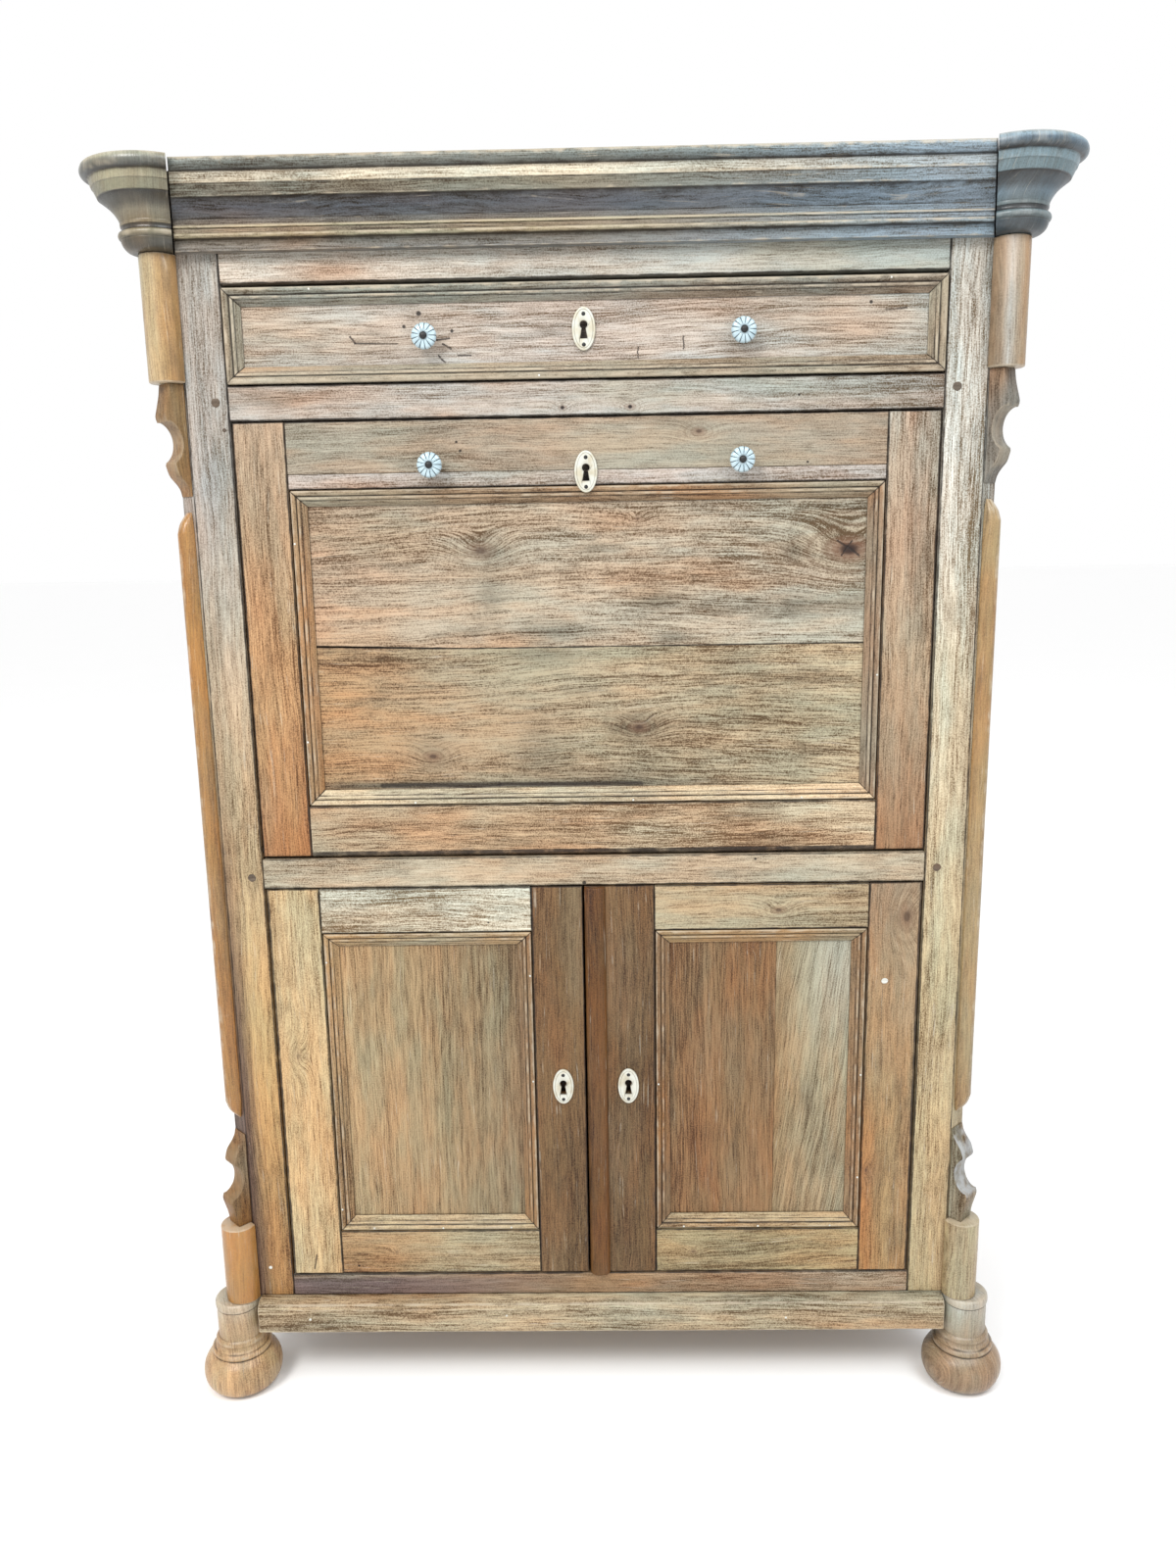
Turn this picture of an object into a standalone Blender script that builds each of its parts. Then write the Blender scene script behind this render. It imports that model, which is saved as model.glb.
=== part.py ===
"""Fall-front secretary cabinet.

A carcass with canted front corners, one shallow drawer, a panelled fall that turns down to a
writing surface, and two panelled doors.  Metres, +Z up, the front faces -Y, the origin is under
the middle of the cabinet on the floor.
"""
import math

import bmesh
import bpy
from mathutils import Matrix, Vector

# ---------------------------------------------------------------- driving dimensions
GAP = 0.0003            # gap between pieces that touch
HEIGHT = 1.4878         # floor to cornice top
FRONT = -0.1885         # plane of the front stile faces
BACK = 0.2600           # rear plane
STILE_OUT = 0.4458      # half width over the flat front of the stiles
STILE_IN = 0.3991       # half width of the openings
CANT = 0.0200           # leg of the 45 degree corner cant
SIDE_X = STILE_OUT + CANT
STILE_BACK = FRONT + 0.027
SIDE_T = 0.020

Z_PLINTH0 = 0.0855
Z_PLINTH1 = 0.1276
Z_BOTTOM_RAIL = 0.1577
Z_MID0 = 0.6805
Z_MID1 = 0.7170
Z_DRAIL0 = 1.2258
Z_DRAIL1 = 1.2632
Z_FRIEZE0 = 1.3706
Z_CARCASS = 1.4640
Z_CORNICE = 1.4014

# drawer
DRAWER_X = 0.3978
DRAWER_Z0, DRAWER_Z1 = 1.2650, 1.3665
DRAWER_FACE = FRONT + 0.006

# fall and its pivot
FALL_X = 0.3966
FALL_Z0, FALL_Z1 = 0.7185, 1.2238
FALL_T = 0.024
FALL_OPEN_X = 0.3380
FALL_OPEN_Z0, FALL_OPEN_Z1 = 0.7816, 1.1503
FALL_AXIS_Y = FRONT + 0.009
FALL_AXIS_Z = FALL_Z0 + 0.009
FALL_PIN_R = 0.0042
STAY_X0, STAY_X1 = 0.3845, 0.3885
STAY_R0, STAY_R1 = 0.172, 0.186

# doors and their pivots
DOOR_Z0, DOOR_Z1 = 0.1590, 0.6790
DOOR_T = 0.022
DOOR_OUT = 0.3976
SEAM_LEFT, SEAM_RIGHT = -0.0125, -0.0105
DOOR_AXIS_X = DOOR_OUT - 0.008
DOOR_AXIS_Y = FRONT + 0.006
DOOR_PIN_R = 0.0038
DOOR_OPEN_Z0, DOOR_OPEN_Z1 = 0.2190, 0.6225
LEFT_OPEN = (-0.3328, -0.0752)
RIGHT_OPEN = (0.0745, 0.3340)

# corner ornament
COLUMN_OFF = 0.0121      # column axis in front of the cant face
UPPER_R, LOWER_R = 0.0209, 0.0226
UPPER_COL_Z0 = 1.2672
LOWER_COL_Z1 = 0.2333
BRACKET_W = 0.0255
ROD_Z0, ROD_Z1 = 0.3780, 1.1270
FOOT_X, FOOT_Y = 0.4741, FRONT + 0.0033

# furniture of the fronts
KNOB_X = 0.1750
DRAWER_KNOB_Z = 1.3107
FALL_KNOB_Z = 1.1737
ESC_A, ESC_B, ESC_T = 0.0130, 0.0230, 0.0025
DRAWER_ESC_Z = 1.3175
FALL_ESC_Z = 1.1645
DOOR_ESC_X, DOOR_ESC_Z = 0.0408, 0.4191

# writing compartment
DESK_Z0, DESK_Z1 = 0.7205, 0.7422
UNIT_X = 0.380
UNIT_Y0 = FRONT + 0.200
UNIT_Z0, UNIT_Z1 = 0.7425, 1.0425
INNER_BACK = 0.2437

# ---------------------------------------------------------------- clean start
for ob in list(bpy.data.objects):
    bpy.data.objects.remove(ob, do_unlink=True)
scene = bpy.context.scene


def material(name, rgb, rough, metal=0.0):
    m = bpy.data.materials.new(name)
    m.use_nodes = True
    p = m.node_tree.nodes["Principled BSDF"]
    p.inputs["Base Color"].default_value = (*rgb, 1.0)
    p.inputs["Roughness"].default_value = rough
    p.inputs["Metallic"].default_value = metal
    m.diffuse_color = (*rgb, 1.0)
    return m


WOOD = (0.30, 0.18, 0.095)
WOOD_GREY = (0.28, 0.21, 0.14)
WOOD_RED = (0.32, 0.15, 0.075)
WOOD_PALE = (0.36, 0.25, 0.15)
SECONDARY = (0.42, 0.30, 0.18)
BONE = (0.80, 0.74, 0.60)
CERAMIC = (0.80, 0.84, 0.85)
BRASS = (0.65, 0.50, 0.22)
IRON = (0.12, 0.11, 0.10)

empties = {}


def axis_empty(name, loc):
    e = bpy.data.objects.new(name, None)
    e.location = loc
    e.empty_display_size = 0.05
    scene.collection.objects.link(e)
    empties[name] = e
    return e


def mesh_from(verts, faces):
    me = bpy.data.meshes.new("mesh")
    me.from_pydata([tuple(v) for v in verts], [], faces)
    bm = bmesh.new()
    bm.from_mesh(me)
    bmesh.ops.remove_doubles(bm, verts=bm.verts, dist=1e-7)
    bmesh.ops.recalc_face_normals(bm, faces=bm.faces)
    bm.to_mesh(me)
    bm.free()
    return me


def loft(loops):
    """Closed body through a list of equal loops, with flat ends."""
    n = len(loops[0])
    verts = [v for lp in loops for v in lp]
    faces = [list(range(n))[::-1], [(len(loops) - 1) * n + i for i in range(n)]]
    for k in range(len(loops) - 1):
        for i in range(n):
            j = (i + 1) % n
            faces.append([k * n + i, k * n + j, (k + 1) * n + j, (k + 1) * n + i])
    return mesh_from(verts, faces)


def prism(points, along, lo, hi):
    put = {"x": lambda p, h: (h, p[0], p[1]),
           "y": lambda p, h: (p[0], h, p[1]),
           "z": lambda p, h: (p[0], p[1], h)}[along]
    return loft([[put(p, lo) for p in points], [put(p, hi) for p in points]])


def box(x0, x1, y0, y1, z0, z1):
    return prism([(x0, y0), (x1, y0), (x1, y1), (x0, y1)], "z", z0, z1)


def lathe(profile, segs, place):
    """Turned body; profile runs (radius, height) from pole to pole."""
    verts, faces = [], []
    rows = []
    for r, h in profile:
        if r < 1e-9:
            rows.append([len(verts)])
            verts.append(place(0.0, 0.0, h))
        else:
            rows.append(list(range(len(verts), len(verts) + segs)))
            for k in range(segs):
                a = 2 * math.pi * k / segs
                verts.append(place(r * math.cos(a), r * math.sin(a), h))
    for a, b in zip(rows, rows[1:]):
        for k in range(segs):
            j = (k + 1) % segs
            if len(a) == 1:
                faces.append([a[0], b[j], b[k]])
            elif len(b) == 1:
                faces.append([a[k], a[j], b[0]])
            else:
                faces.append([a[k], a[j], b[j], b[k]])
    return mesh_from(verts, faces)


def cylinder(centre, along, r, lo, hi, segs=16):
    pts = [(centre[0] + r * math.cos(2 * math.pi * k / segs),
            centre[1] + r * math.sin(2 * math.pi * k / segs)) for k in range(segs)]
    return prism(pts, along, lo, hi)


def ring(x0, x1, z0, z1, profile):
    """Mitred moulding round a rectangle; profile is (inset, depth from the front plane)."""
    verts, faces = [], []
    n = len(profile)
    for u, d in profile:
        y = FRONT + d
        verts += [(x0 + u, y, z0 + u), (x1 - u, y, z0 + u), (x1 - u, y, z1 - u), (x0 + u, y, z1 - u)]
    for i in range(n):
        j = (i + 1) % n
        for k in range(4):
            m = (k + 1) % 4
            faces.append([4 * i + k, 4 * i + m, 4 * j + m, 4 * j + k])
    return mesh_from(verts, faces)


def add(name, me, rgb, rough=0.5, metal=0.0, axis=None, smooth=None):
    ob = bpy.data.objects.new(name, me)
    scene.collection.objects.link(ob)
    me.name = name
    me.materials.append(material(name, rgb, rough, metal))
    ob["axis"] = axis or ""
    if smooth is not None:
        me.shade_smooth()
        me.set_sharp_from_angle(angle=math.radians(smooth))
    return ob


def combine(ob, meshes, operation):
    """Cut or join plain bodies into an object."""
    for me in meshes:
        tool = bpy.data.objects.new("tool", me)
        scene.collection.objects.link(tool)
        mod = ob.modifiers.new("b", "BOOLEAN")
        mod.operation = operation
        mod.solver = "EXACT"
        mod.object = tool
        bpy.context.view_layer.update()
        dg = bpy.context.evaluated_depsgraph_get()
        out = bpy.data.meshes.new_from_object(ob.evaluated_get(dg))
        ob.modifiers.clear()
        out.name = ob.name
        ob.data = out
        bpy.data.objects.remove(tool, do_unlink=True)
    return ob


def cut(ob, *meshes):
    return combine(ob, meshes, "DIFFERENCE")


def join(ob, *meshes):
    return combine(ob, meshes, "UNION")


F = FRONT

# ---------------------------------------------------------------- carcass
for s, side in ((-1, "left"), (1, "right")):
    post = add("stile_" + side,
               prism([(s * STILE_IN, F), (s * STILE_OUT, F), (s * SIDE_X, F + CANT),
                      (s * SIDE_X, STILE_BACK), (s * STILE_IN, STILE_BACK)],
                     "z", Z_PLINTH1 + GAP, Z_CARCASS), WOOD_GREY)
    a, b = sorted((s * (STILE_IN - 0.001), s * 0.4062))
    cut(post, cylinder((FALL_AXIS_Y, FALL_AXIS_Z), "x", FALL_PIN_R + 0.0003, a, b))

    y0 = STILE_BACK + GAP
    pts = [(y0, Z_PLINTH1 + GAP), (F + 0.0350, Z_PLINTH1 + GAP), (F + 0.0350, Z_PLINTH0),
           (0.195, Z_PLINTH0), (0.205, 0.0), (BACK, 0.0), (BACK, Z_CARCASS), (y0, Z_CARCASS)]
    a, b = sorted((s * STILE_OUT, s * SIDE_X))
    add("side_" + side, prism(pts, "x", a, b), WOOD)

INSIDE_X = STILE_OUT - GAP
add("back_panel", box(-INSIDE_X, INSIDE_X, 0.2440, 0.2580, 0.1000, Z_CARCASS), SECONDARY, 0.7)
add("cupboard_floor", box(-INSIDE_X, INSIDE_X, F + 0.0275, INNER_BACK, 0.1360, 0.1560), SECONDARY, 0.6)
add("desk_floor", box(-INSIDE_X, INSIDE_X, F + 0.0275, INNER_BACK, DESK_Z0, DESK_Z1), WOOD, 0.5)
add("dust_board", box(-INSIDE_X, INSIDE_X, F + 0.0305, INNER_BACK, 1.2405, Z_DRAIL1), SECONDARY, 0.6)
add("top_board", prism([(-STILE_OUT + GAP, F), (STILE_OUT - GAP, F), (SIDE_X - GAP, F + CANT),
                        (SIDE_X - GAP, 0.2597), (-SIDE_X + GAP, 0.2597), (-SIDE_X + GAP, F + CANT)],
                       "z", Z_CARCASS + GAP, HEIGHT - 0.001), WOOD)

RAIL_X = STILE_IN - GAP
frieze = add("frieze_rail", box(-RAIL_X, RAIL_X, F, F + 0.026, Z_FRIEZE0, Z_CARCASS), WOOD)
cut(frieze, box(-0.0130, 0.0130, F + 0.0104, F + 0.0176, Z_FRIEZE0 - 0.001, 1.3770))
drail = add("drawer_rail", box(-RAIL_X, RAIL_X, F, F + 0.030, Z_DRAIL0, Z_DRAIL1), WOOD)
cut(drail, box(-0.0130, 0.0130, F + 0.0082, F + 0.0158, Z_DRAIL0 - 0.001, 1.2335))
mrail = add("middle_rail", box(-RAIL_X, RAIL_X, F, F + 0.027, Z_MID0, Z_MID1), WOOD_PALE)
brail = add("bottom_rail", box(-RAIL_X, RAIL_X, F, F + 0.026, Z_PLINTH1 + GAP, Z_BOTTOM_RAIL), WOOD)
for s in (-1, 1):
    c = (s * DOOR_AXIS_X, DOOR_AXIS_Y)
    cut(mrail, cylinder(c, "z", DOOR_PIN_R + 0.0004, Z_MID0 - 0.001, 0.6895))
    cut(brail, cylinder(c, "z", DOOR_PIN_R + 0.0004, 0.1487, Z_BOTTOM_RAIL + 0.001))
add("plinth", prism([(F + 0.026, Z_PLINTH0), (F - 0.0190, Z_PLINTH0), (F - 0.0190, 0.1170),
                     (F - 0.0185, 0.1210), (F - 0.0120, 0.1265), (F, Z_PLINTH1), (F + 0.026, Z_PLINTH1)],
                    "x", -0.443, 0.443), WOOD_PALE)

# ---------------------------------------------------------------- cornice
CORNICE = [(0.0, HEIGHT), (0.0415, HEIGHT), (0.0455, 1.4855), (0.0465, 1.4795), (0.0450, 1.4735),
           (0.0425, 1.4702), (0.0405, 1.4700), (0.0395, 1.4608), (0.0385, 1.4600), (0.0370, 1.4509),
           (0.0345, 1.4505), (0.0280, 1.4420), (0.0200, 1.4340), (0.0155, 1.4267), (0.0165, 1.4255),
           (0.0200, 1.4215), (0.0215, 1.4150), (0.0200, 1.4097), (0.0140, 1.4093), (0.0130, Z_CORNICE),
           (0.0, Z_CORNICE)]
SPLAY = 0.34             # the end cuts run back and outward
add("cornice_front", loft([[(s * (0.4462 - SPLAY * p), F - GAP - p, z) for p, z in CORNICE]
                           for s in (-1, 1)]), WOOD_GREY)
for s, side in ((-1, "left"), (1, "right")):
    add("cornice_side_" + side,
        loft([[(s * (SIDE_X + GAP + p), F + 0.0195 + SPLAY * p, z) for p, z in CORNICE],
              [(s * (SIDE_X + GAP + p), 0.2597, z) for p, z in CORNICE]]), WOOD_GREY)

CORNER = [(0.0, Z_CORNICE), (0.0240, Z_CORNICE), (0.0310, 1.4040), (0.0365, 1.4095), (0.0385, 1.4140),
          (0.0378, 1.4190), (0.0357, 1.4195), (0.0355, 1.4262), (0.0400, 1.4345), (0.0470, 1.4440),
          (0.0550, 1.4505), (0.0565, 1.4509), (0.0612, 1.4604), (0.0625, 1.4608), (0.0642, 1.4698),
          (0.0660, 1.4702), (0.0712, 1.4740), (0.0726, 1.4785), (0.0715, 1.4835), (0.0690, 1.4866),
          (0.0660, HEIGHT), (0.0, HEIGHT)]
ROOT2 = math.sqrt(0.5)
AX = STILE_OUT + CANT / 2 + COLUMN_OFF * ROOT2
AY = F + CANT / 2 - COLUMN_OFF * ROOT2
for s, side in ((-1, "left"), (1, "right")):
    corner = add("cornice_corner_" + side,
                 lathe(CORNER, 36, lambda u, v, h, s=s: (s * (AX + u), AY + v, h)), WOOD_GREY)
    keep = [(0.4468, F + 0.0004), (0.4468 - SPLAY * 0.1, F - 0.1), (0.62, F - 0.1),
            (0.62, F + 0.0190 + SPLAY * 0.1542), (0.4652, F + 0.0190)]
    combine(corner, [prism([(s * x, y) for x, y in keep], "z", 1.30, 1.60)], "INTERSECT")
    corner.data.shade_smooth()
    corner.data.set_sharp_from_angle(angle=math.radians(28))

# ---------------------------------------------------------------- canted corners
def on_cant(s, n, t, z):
    """Point at n out of the cant face and t along it, towards the back."""
    x = STILE_OUT + CANT / 2 + n * ROOT2 + t * ROOT2
    y = F + CANT / 2 - n * ROOT2 + t * ROOT2
    return (s * x, y, z)


def column(s, r, z0, z1):
    lim = math.acos(-(COLUMN_OFF - GAP) / r)
    pts = []
    for k in range(25):
        a = -lim + 2 * lim * k / 24
        pts.append((COLUMN_OFF + r * math.cos(a), r * math.sin(a)))
    return loft([[on_cant(s, n, t, z) for n, t in pts] for z in (z0, z1)])


def bracket(s, z, up):
    """Scroll-cut bracket that starts at height z beside a column end."""
    pts = [(0.0003, 0.0183), (0.0120, 0.0200), (0.0250, 0.0232), (0.0350, 0.0256), (0.0415, 0.0240)]
    for k in range(11):
        a = math.radians(17 + (152 - 17) * k / 10)
        pts.append((0.0640 - 0.0235 * math.cos(a), 0.0262 - 0.0189 * math.sin(a)))
    pts += [(0.0880, 0.0182), (0.0985, 0.0150), (0.1040, 0.0110), (0.1090, 0.0068), (0.1150, 0.0032),
            (0.1230, 0.0009), (0.1230, GAP), (0.0003, GAP)]
    w = BRACKET_W / 2
    return loft([[on_cant(s, n, t, z + (d if up else -d)) for d, n in pts] for t in (-w, w)])


def rod(s):
    half, straight, tall = 0.0095, 0.0060, 0.0155
    sec = [(GAP, -half)]
    for k in range(9):
        a = math.pi * k / 8
        sec.append((straight + (tall - straight) * math.sin(a), -half * math.cos(a)))
    sec.append((GAP, half))
    loops = []
    for z, f in ((0.0, 0.12), (0.006, 0.45), (0.014, 0.80), (0.024, 1.0)):
        loops.append((ROD_Z0 + z, f))
    loops += [(ROD_Z1 + ROD_Z0 - z, f) for z, f in loops[::-1]]
    return loft([[on_cant(s, max(GAP, n * f) if n > GAP else GAP, t * (0.55 + 0.45 * f), z)
                  for n, t in sec] for z, f in loops])


FOOT = [(0.0, 0.0), (0.0300, 0.0), (0.0385, 0.0035), (0.0455, 0.0100), (0.0492, 0.0190),
        (0.0500, 0.0280), (0.0485, 0.0370), (0.0440, 0.0455), (0.0385, 0.0510), (0.0360, 0.0530),
        (0.0375, 0.0555), (0.0375, 0.0590), (0.0350, 0.0610), (0.0315, 0.0635), (0.0310, 0.0680),
        (0.0318, 0.0710), (0.0300, 0.0745), (0.0280, 0.0765), (0.0278, 0.1150), (0.0268, 0.1160),
        (0.0286, 0.1180), (0.0290, 0.1225), (0.0280, 0.1262), (0.0255, Z_PLINTH1), (0.0, Z_PLINTH1)]
for s, side in ((-1, "left"), (1, "right")):
    add("upper_column_" + side, column(s, UPPER_R, UPPER_COL_Z0, Z_CORNICE - GAP), WOOD, 0.45, smooth=30)
    add("upper_bracket_" + side, bracket(s, UPPER_COL_Z0, False), WOOD, 0.45)
    add("corner_rod_" + side, rod(s), WOOD, 0.45, smooth=40)
    add("lower_bracket_" + side, bracket(s, LOWER_COL_Z1, True), WOOD_PALE, 0.45)
    add("lower_column_" + side, column(s, LOWER_R, Z_PLINTH1 + GAP, LOWER_COL_Z1), WOOD, 0.45, smooth=30)
    add("foot_front_" + side,
        lathe(FOOT, 28, lambda u, v, h, s=s: (s * (FOOT_X + u), FOOT_Y + v, h)), WOOD, 0.45, smooth=40)

# ---------------------------------------------------------------- knobs and escutcheons
KNOB = [(0.0, 0.0), (0.0075, 0.0), (0.0070, 0.0030), (0.0060, 0.0070), (0.0065, 0.0105), (0.0110, 0.0125),
        (0.0138, 0.0150), (0.0140, 0.0175), (0.0130, 0.0200), (0.0080, 0.0218), (0.0037, 0.0223),
        (0.0034, 0.0238), (0.0020, 0.0249), (0.0, 0.0252)]


def knob(x, y, z):
    return lathe(KNOB, 20, lambda u, v, h: (x + u, y - h, z + v))


def keyhole(x, z, y0, y1):
    pts = []
    for k in range(11):
        a = math.radians(-58 + 296 * k / 10)
        pts.append((x + 0.0036 * math.cos(a), z + 0.0040 + 0.0036 * math.sin(a)))
    pts += [(x - 0.0030, z - 0.0095), (x + 0.0030, z - 0.0095)]
    return prism(pts, "y", y0, y1)


def escutcheon(name, x, z, face, axis):
    pts = [(x + ESC_A * math.cos(2 * math.pi * k / 32), z + ESC_B * math.sin(2 * math.pi * k / 32))
           for k in range(32)]
    ob = add(name, prism(pts, "y", face - GAP - ESC_T, face - GAP), BONE, 0.4, axis=axis)
    return cut(ob, keyhole(x, z, face - 0.01, face + 0.01))


# ---------------------------------------------------------------- drawer
axis_empty("drawer_axis", (0.0, F, (DRAWER_Z0 + DRAWER_Z1) / 2))
front = add("drawer_front", box(-DRAWER_X, DRAWER_X, DRAWER_FACE, F + 0.026, DRAWER_Z0, DRAWER_Z1),
            WOOD_RED, 0.45, axis="drawer_axis")
cut(front, box(-0.0125, 0.0125, F + 0.0105, F + 0.0175, 1.3357, DRAWER_Z1 + 0.001),
    keyhole(0.0, DRAWER_ESC_Z - 0.0005, DRAWER_FACE - 0.002, F + 0.0100))
tray = add("drawer_tray", box(-0.386, 0.386, F + 0.0263, F + 0.400, 1.2642, 1.3480), SECONDARY, 0.65,
           axis="drawer_axis")
cut(tray, box(-0.375, 0.375, F + 0.0375, F + 0.389, 1.2735, 1.36))
add("drawer_moulding", ring(-DRAWER_X, DRAWER_X, DRAWER_Z0, DRAWER_Z1,
                            [(0.0, -0.0040), (0.0075, -0.0040), (0.0095, -0.0015), (0.0125, -0.0010),
                             (0.0190, 0.0045), (0.0190, 0.0057), (0.0, 0.0057)]),
    WOOD_PALE, 0.45, axis="drawer_axis")
for s, side in ((-1, "left"), (1, "right")):
    add("drawer_knob_" + side, knob(s * KNOB_X, DRAWER_FACE - GAP, DRAWER_KNOB_Z), CERAMIC, 0.15,
        axis="drawer_axis", smooth=35)
escutcheon("drawer_escutcheon", 0.0, DRAWER_ESC_Z, DRAWER_FACE, "drawer_axis")
axis_empty("drawer_bolt_axis", (0.0, F + 0.014, 1.3512))
add("drawer_lock_bolt", box(-0.0120, 0.0120, F + 0.0110, F + 0.0170, 1.3362, 1.3662), IRON, 0.4, 1.0,
    axis="drawer_bolt_axis")

# ---------------------------------------------------------------- fall
axis_empty("fall_axis", (0.0, FALL_AXIS_Y, FALL_AXIS_Z))
R = 0.007                # rounded lower front edge, so that the fall clears the rail under it
sec = [(F + R - R * math.cos(math.radians(15 * k)), FALL_Z0 + R - R * math.sin(math.radians(15 * k)))
       for k in range(7)]
sec += [(F + FALL_T, FALL_Z0), (F + FALL_T, FALL_Z1), (F, FALL_Z1)]
fall = add("fall_frame", prism(sec, "x", -FALL_X, FALL_X), WOOD_RED, 0.45, axis="fall_axis")
G = 0.006                # depth of the groove that holds a panel
cut(fall, box(-FALL_OPEN_X, FALL_OPEN_X, F - 0.01, F + 0.05, FALL_OPEN_Z0, FALL_OPEN_Z1),
    box(-FALL_OPEN_X - G, FALL_OPEN_X + G, F + 0.0100, F + 0.0190, FALL_OPEN_Z0 - G, FALL_OPEN_Z1 + G),
    box(-0.0125, 0.0125, F + 0.0085, F + 0.0155, 1.1938, FALL_Z1 + 0.001),
    keyhole(0.0, FALL_ESC_Z - 0.0005, F - 0.002, F + 0.0080))
for s in (-1, 1):
    a, b = sorted((s * (FALL_X - 0.004), s * 0.4050))
    join(fall, cylinder((FALL_AXIS_Y, FALL_AXIS_Z), "x", FALL_PIN_R, a, b))
P = G - 0.0004
add("fall_panel", box(-FALL_OPEN_X - P, FALL_OPEN_X + P, F + 0.0103, F + 0.0187,
                      FALL_OPEN_Z0 - P, FALL_OPEN_Z1 + P), WOOD, 0.45, axis="fall_axis")


def panel_profile(depth):
    return [(0.0, 0.0006), (0.0075, 0.0006), (0.0092, 0.0028), (0.0120, 0.0032),
            (0.0185, depth - 0.0014), (0.0185, depth), (0.0, depth)]


add("fall_moulding", ring(-FALL_OPEN_X + GAP, FALL_OPEN_X - GAP, FALL_OPEN_Z0 + GAP, FALL_OPEN_Z1 - GAP,
                          panel_profile(0.0099)), WOOD_RED, 0.45, axis="fall_axis")
for s, side in ((-1, "left"), (1, "right")):
    add("fall_knob_" + side, knob(s * (KNOB_X - 0.001), F - GAP, FALL_KNOB_Z), CERAMIC, 0.15,
        axis="fall_axis", smooth=35)
escutcheon("fall_escutcheon", 0.0, FALL_ESC_Z, F, "fall_axis")
for s, side in ((-1, "left"), (1, "right")):
    y0, y1 = FALL_T - 0.009 + GAP, FALL_T - 0.009 + 0.0045
    pts = [(y0, 0.135), (y1, 0.135)]
    top = math.degrees(math.acos(y1 / STAY_R0))
    for k in range(13):
        a = math.radians(top + (10 - top) * k / 12)
        pts.append((STAY_R0 * math.cos(a), STAY_R0 * math.sin(a)))
    top = math.degrees(math.acos(y1 / STAY_R1))
    for k in range(13):
        a = math.radians(10 + (top - 10) * k / 12)
        pts.append((STAY_R1 * math.cos(a), STAY_R1 * math.sin(a)))
    pts += [(y1, 0.215), (y0, 0.215)]
    a, b = sorted((s * STAY_X0, s * STAY_X1))
    add("fall_stay_" + side, prism([(FALL_AXIS_Y + y, FALL_AXIS_Z + z) for y, z in pts], "x", a, b),
        BRASS, 0.35, 1.0, axis="fall_axis")
axis_empty("fall_bolt_axis", (0.0, F + 0.012, 1.2089))
add("fall_lock_bolt", box(-0.0120, 0.0120, F + 0.0090, F + 0.0150, 1.1943, 1.2235), IRON, 0.4, 1.0,
    axis="fall_bolt_axis")

# ---------------------------------------------------------------- doors
axis_empty("door_left_axis", (-DOOR_AXIS_X, DOOR_AXIS_Y, DOOR_Z0))
axis_empty("door_right_axis", (DOOR_AXIS_X, DOOR_AXIS_Y, DOOR_Z0))
for s, side, edge, opening in ((-1, "left", SEAM_LEFT, LEFT_OPEN), (1, "right", SEAM_RIGHT, RIGHT_OPEN)):
    axis = "door_" + side + "_axis"
    r = 0.003            # eased edge on the pivot side
    pts = [(s * (DOOR_OUT - r + r * math.sin(math.radians(18 * k))),
            F + r - r * math.cos(math.radians(18 * k))) for k in range(6)]
    pts += [(s * DOOR_OUT, F + DOOR_T), (edge, F + DOOR_T), (edge, F)]
    door = add("door_" + side + "_frame", prism(pts, "z", DOOR_Z0, DOOR_Z1), WOOD, 0.5, axis=axis)
    x0, x1 = opening
    cut(door, box(x0, x1, F - 0.01, F + 0.05, DOOR_OPEN_Z0, DOOR_OPEN_Z1),
        box(x0 - G, x1 + G, F + 0.0090, F + 0.0170, DOOR_OPEN_Z0 - G, DOOR_OPEN_Z1 + G),
        keyhole(s * DOOR_ESC_X, DOOR_ESC_Z - 0.0005, F - 0.002, F + 0.0080))
    if s < 0:
        cut(door, box(-0.0195, SEAM_LEFT + 0.001, F + 0.0078, F + 0.0152, DOOR_ESC_Z - 0.0135,
                      DOOR_ESC_Z + 0.0135))
    else:
        cut(door, box(SEAM_RIGHT - 0.001, 0.0250, F + 0.0080, F + 0.0150, DOOR_ESC_Z - 0.0125,
                      DOOR_ESC_Z + 0.0125))
    c = (s * DOOR_AXIS_X, DOOR_AXIS_Y)
    join(door, cylinder(c, "z", DOOR_PIN_R, DOOR_Z1 - 0.004, 0.6885),
         cylinder(c, "z", DOOR_PIN_R, 0.1495, DOOR_Z0 + 0.004))
    add("door_" + side + "_panel", box(x0 - P, x1 + P, F + 0.0093, F + 0.0167, DOOR_OPEN_Z0 - P,
                                       DOOR_OPEN_Z1 + P), WOOD, 0.5, axis=axis)
    add("door_" + side + "_moulding", ring(x0 + GAP, x1 - GAP, DOOR_OPEN_Z0 + GAP, DOOR_OPEN_Z1 - GAP,
                                           panel_profile(0.0089)), WOOD, 0.45, axis=axis)
    escutcheon("door_" + side + "_escutcheon", s * DOOR_ESC_X, DOOR_ESC_Z, F, axis)

mid, half, proud = 0.00235, 0.01285, 0.0100
pts = [(mid - half * math.cos(math.pi * k / 14), F - GAP - proud * math.sin(math.pi * k / 14))
       for k in range(15)]
add("door_astragal", prism(pts, "z", DOOR_Z0, DOOR_Z1 - 0.0002), WOOD_RED, 0.45, axis="door_right_axis",
    smooth=30)
axis_empty("door_bolt_axis", (0.0069, F + 0.0115, DOOR_ESC_Z))
add("door_lock_bolt", box(SEAM_RIGHT + GAP, 0.0240, F + 0.0085, F + 0.0145, DOOR_ESC_Z - 0.012,
                          DOOR_ESC_Z + 0.012), IRON, 0.4, 1.0, axis="door_bolt_axis")

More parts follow.
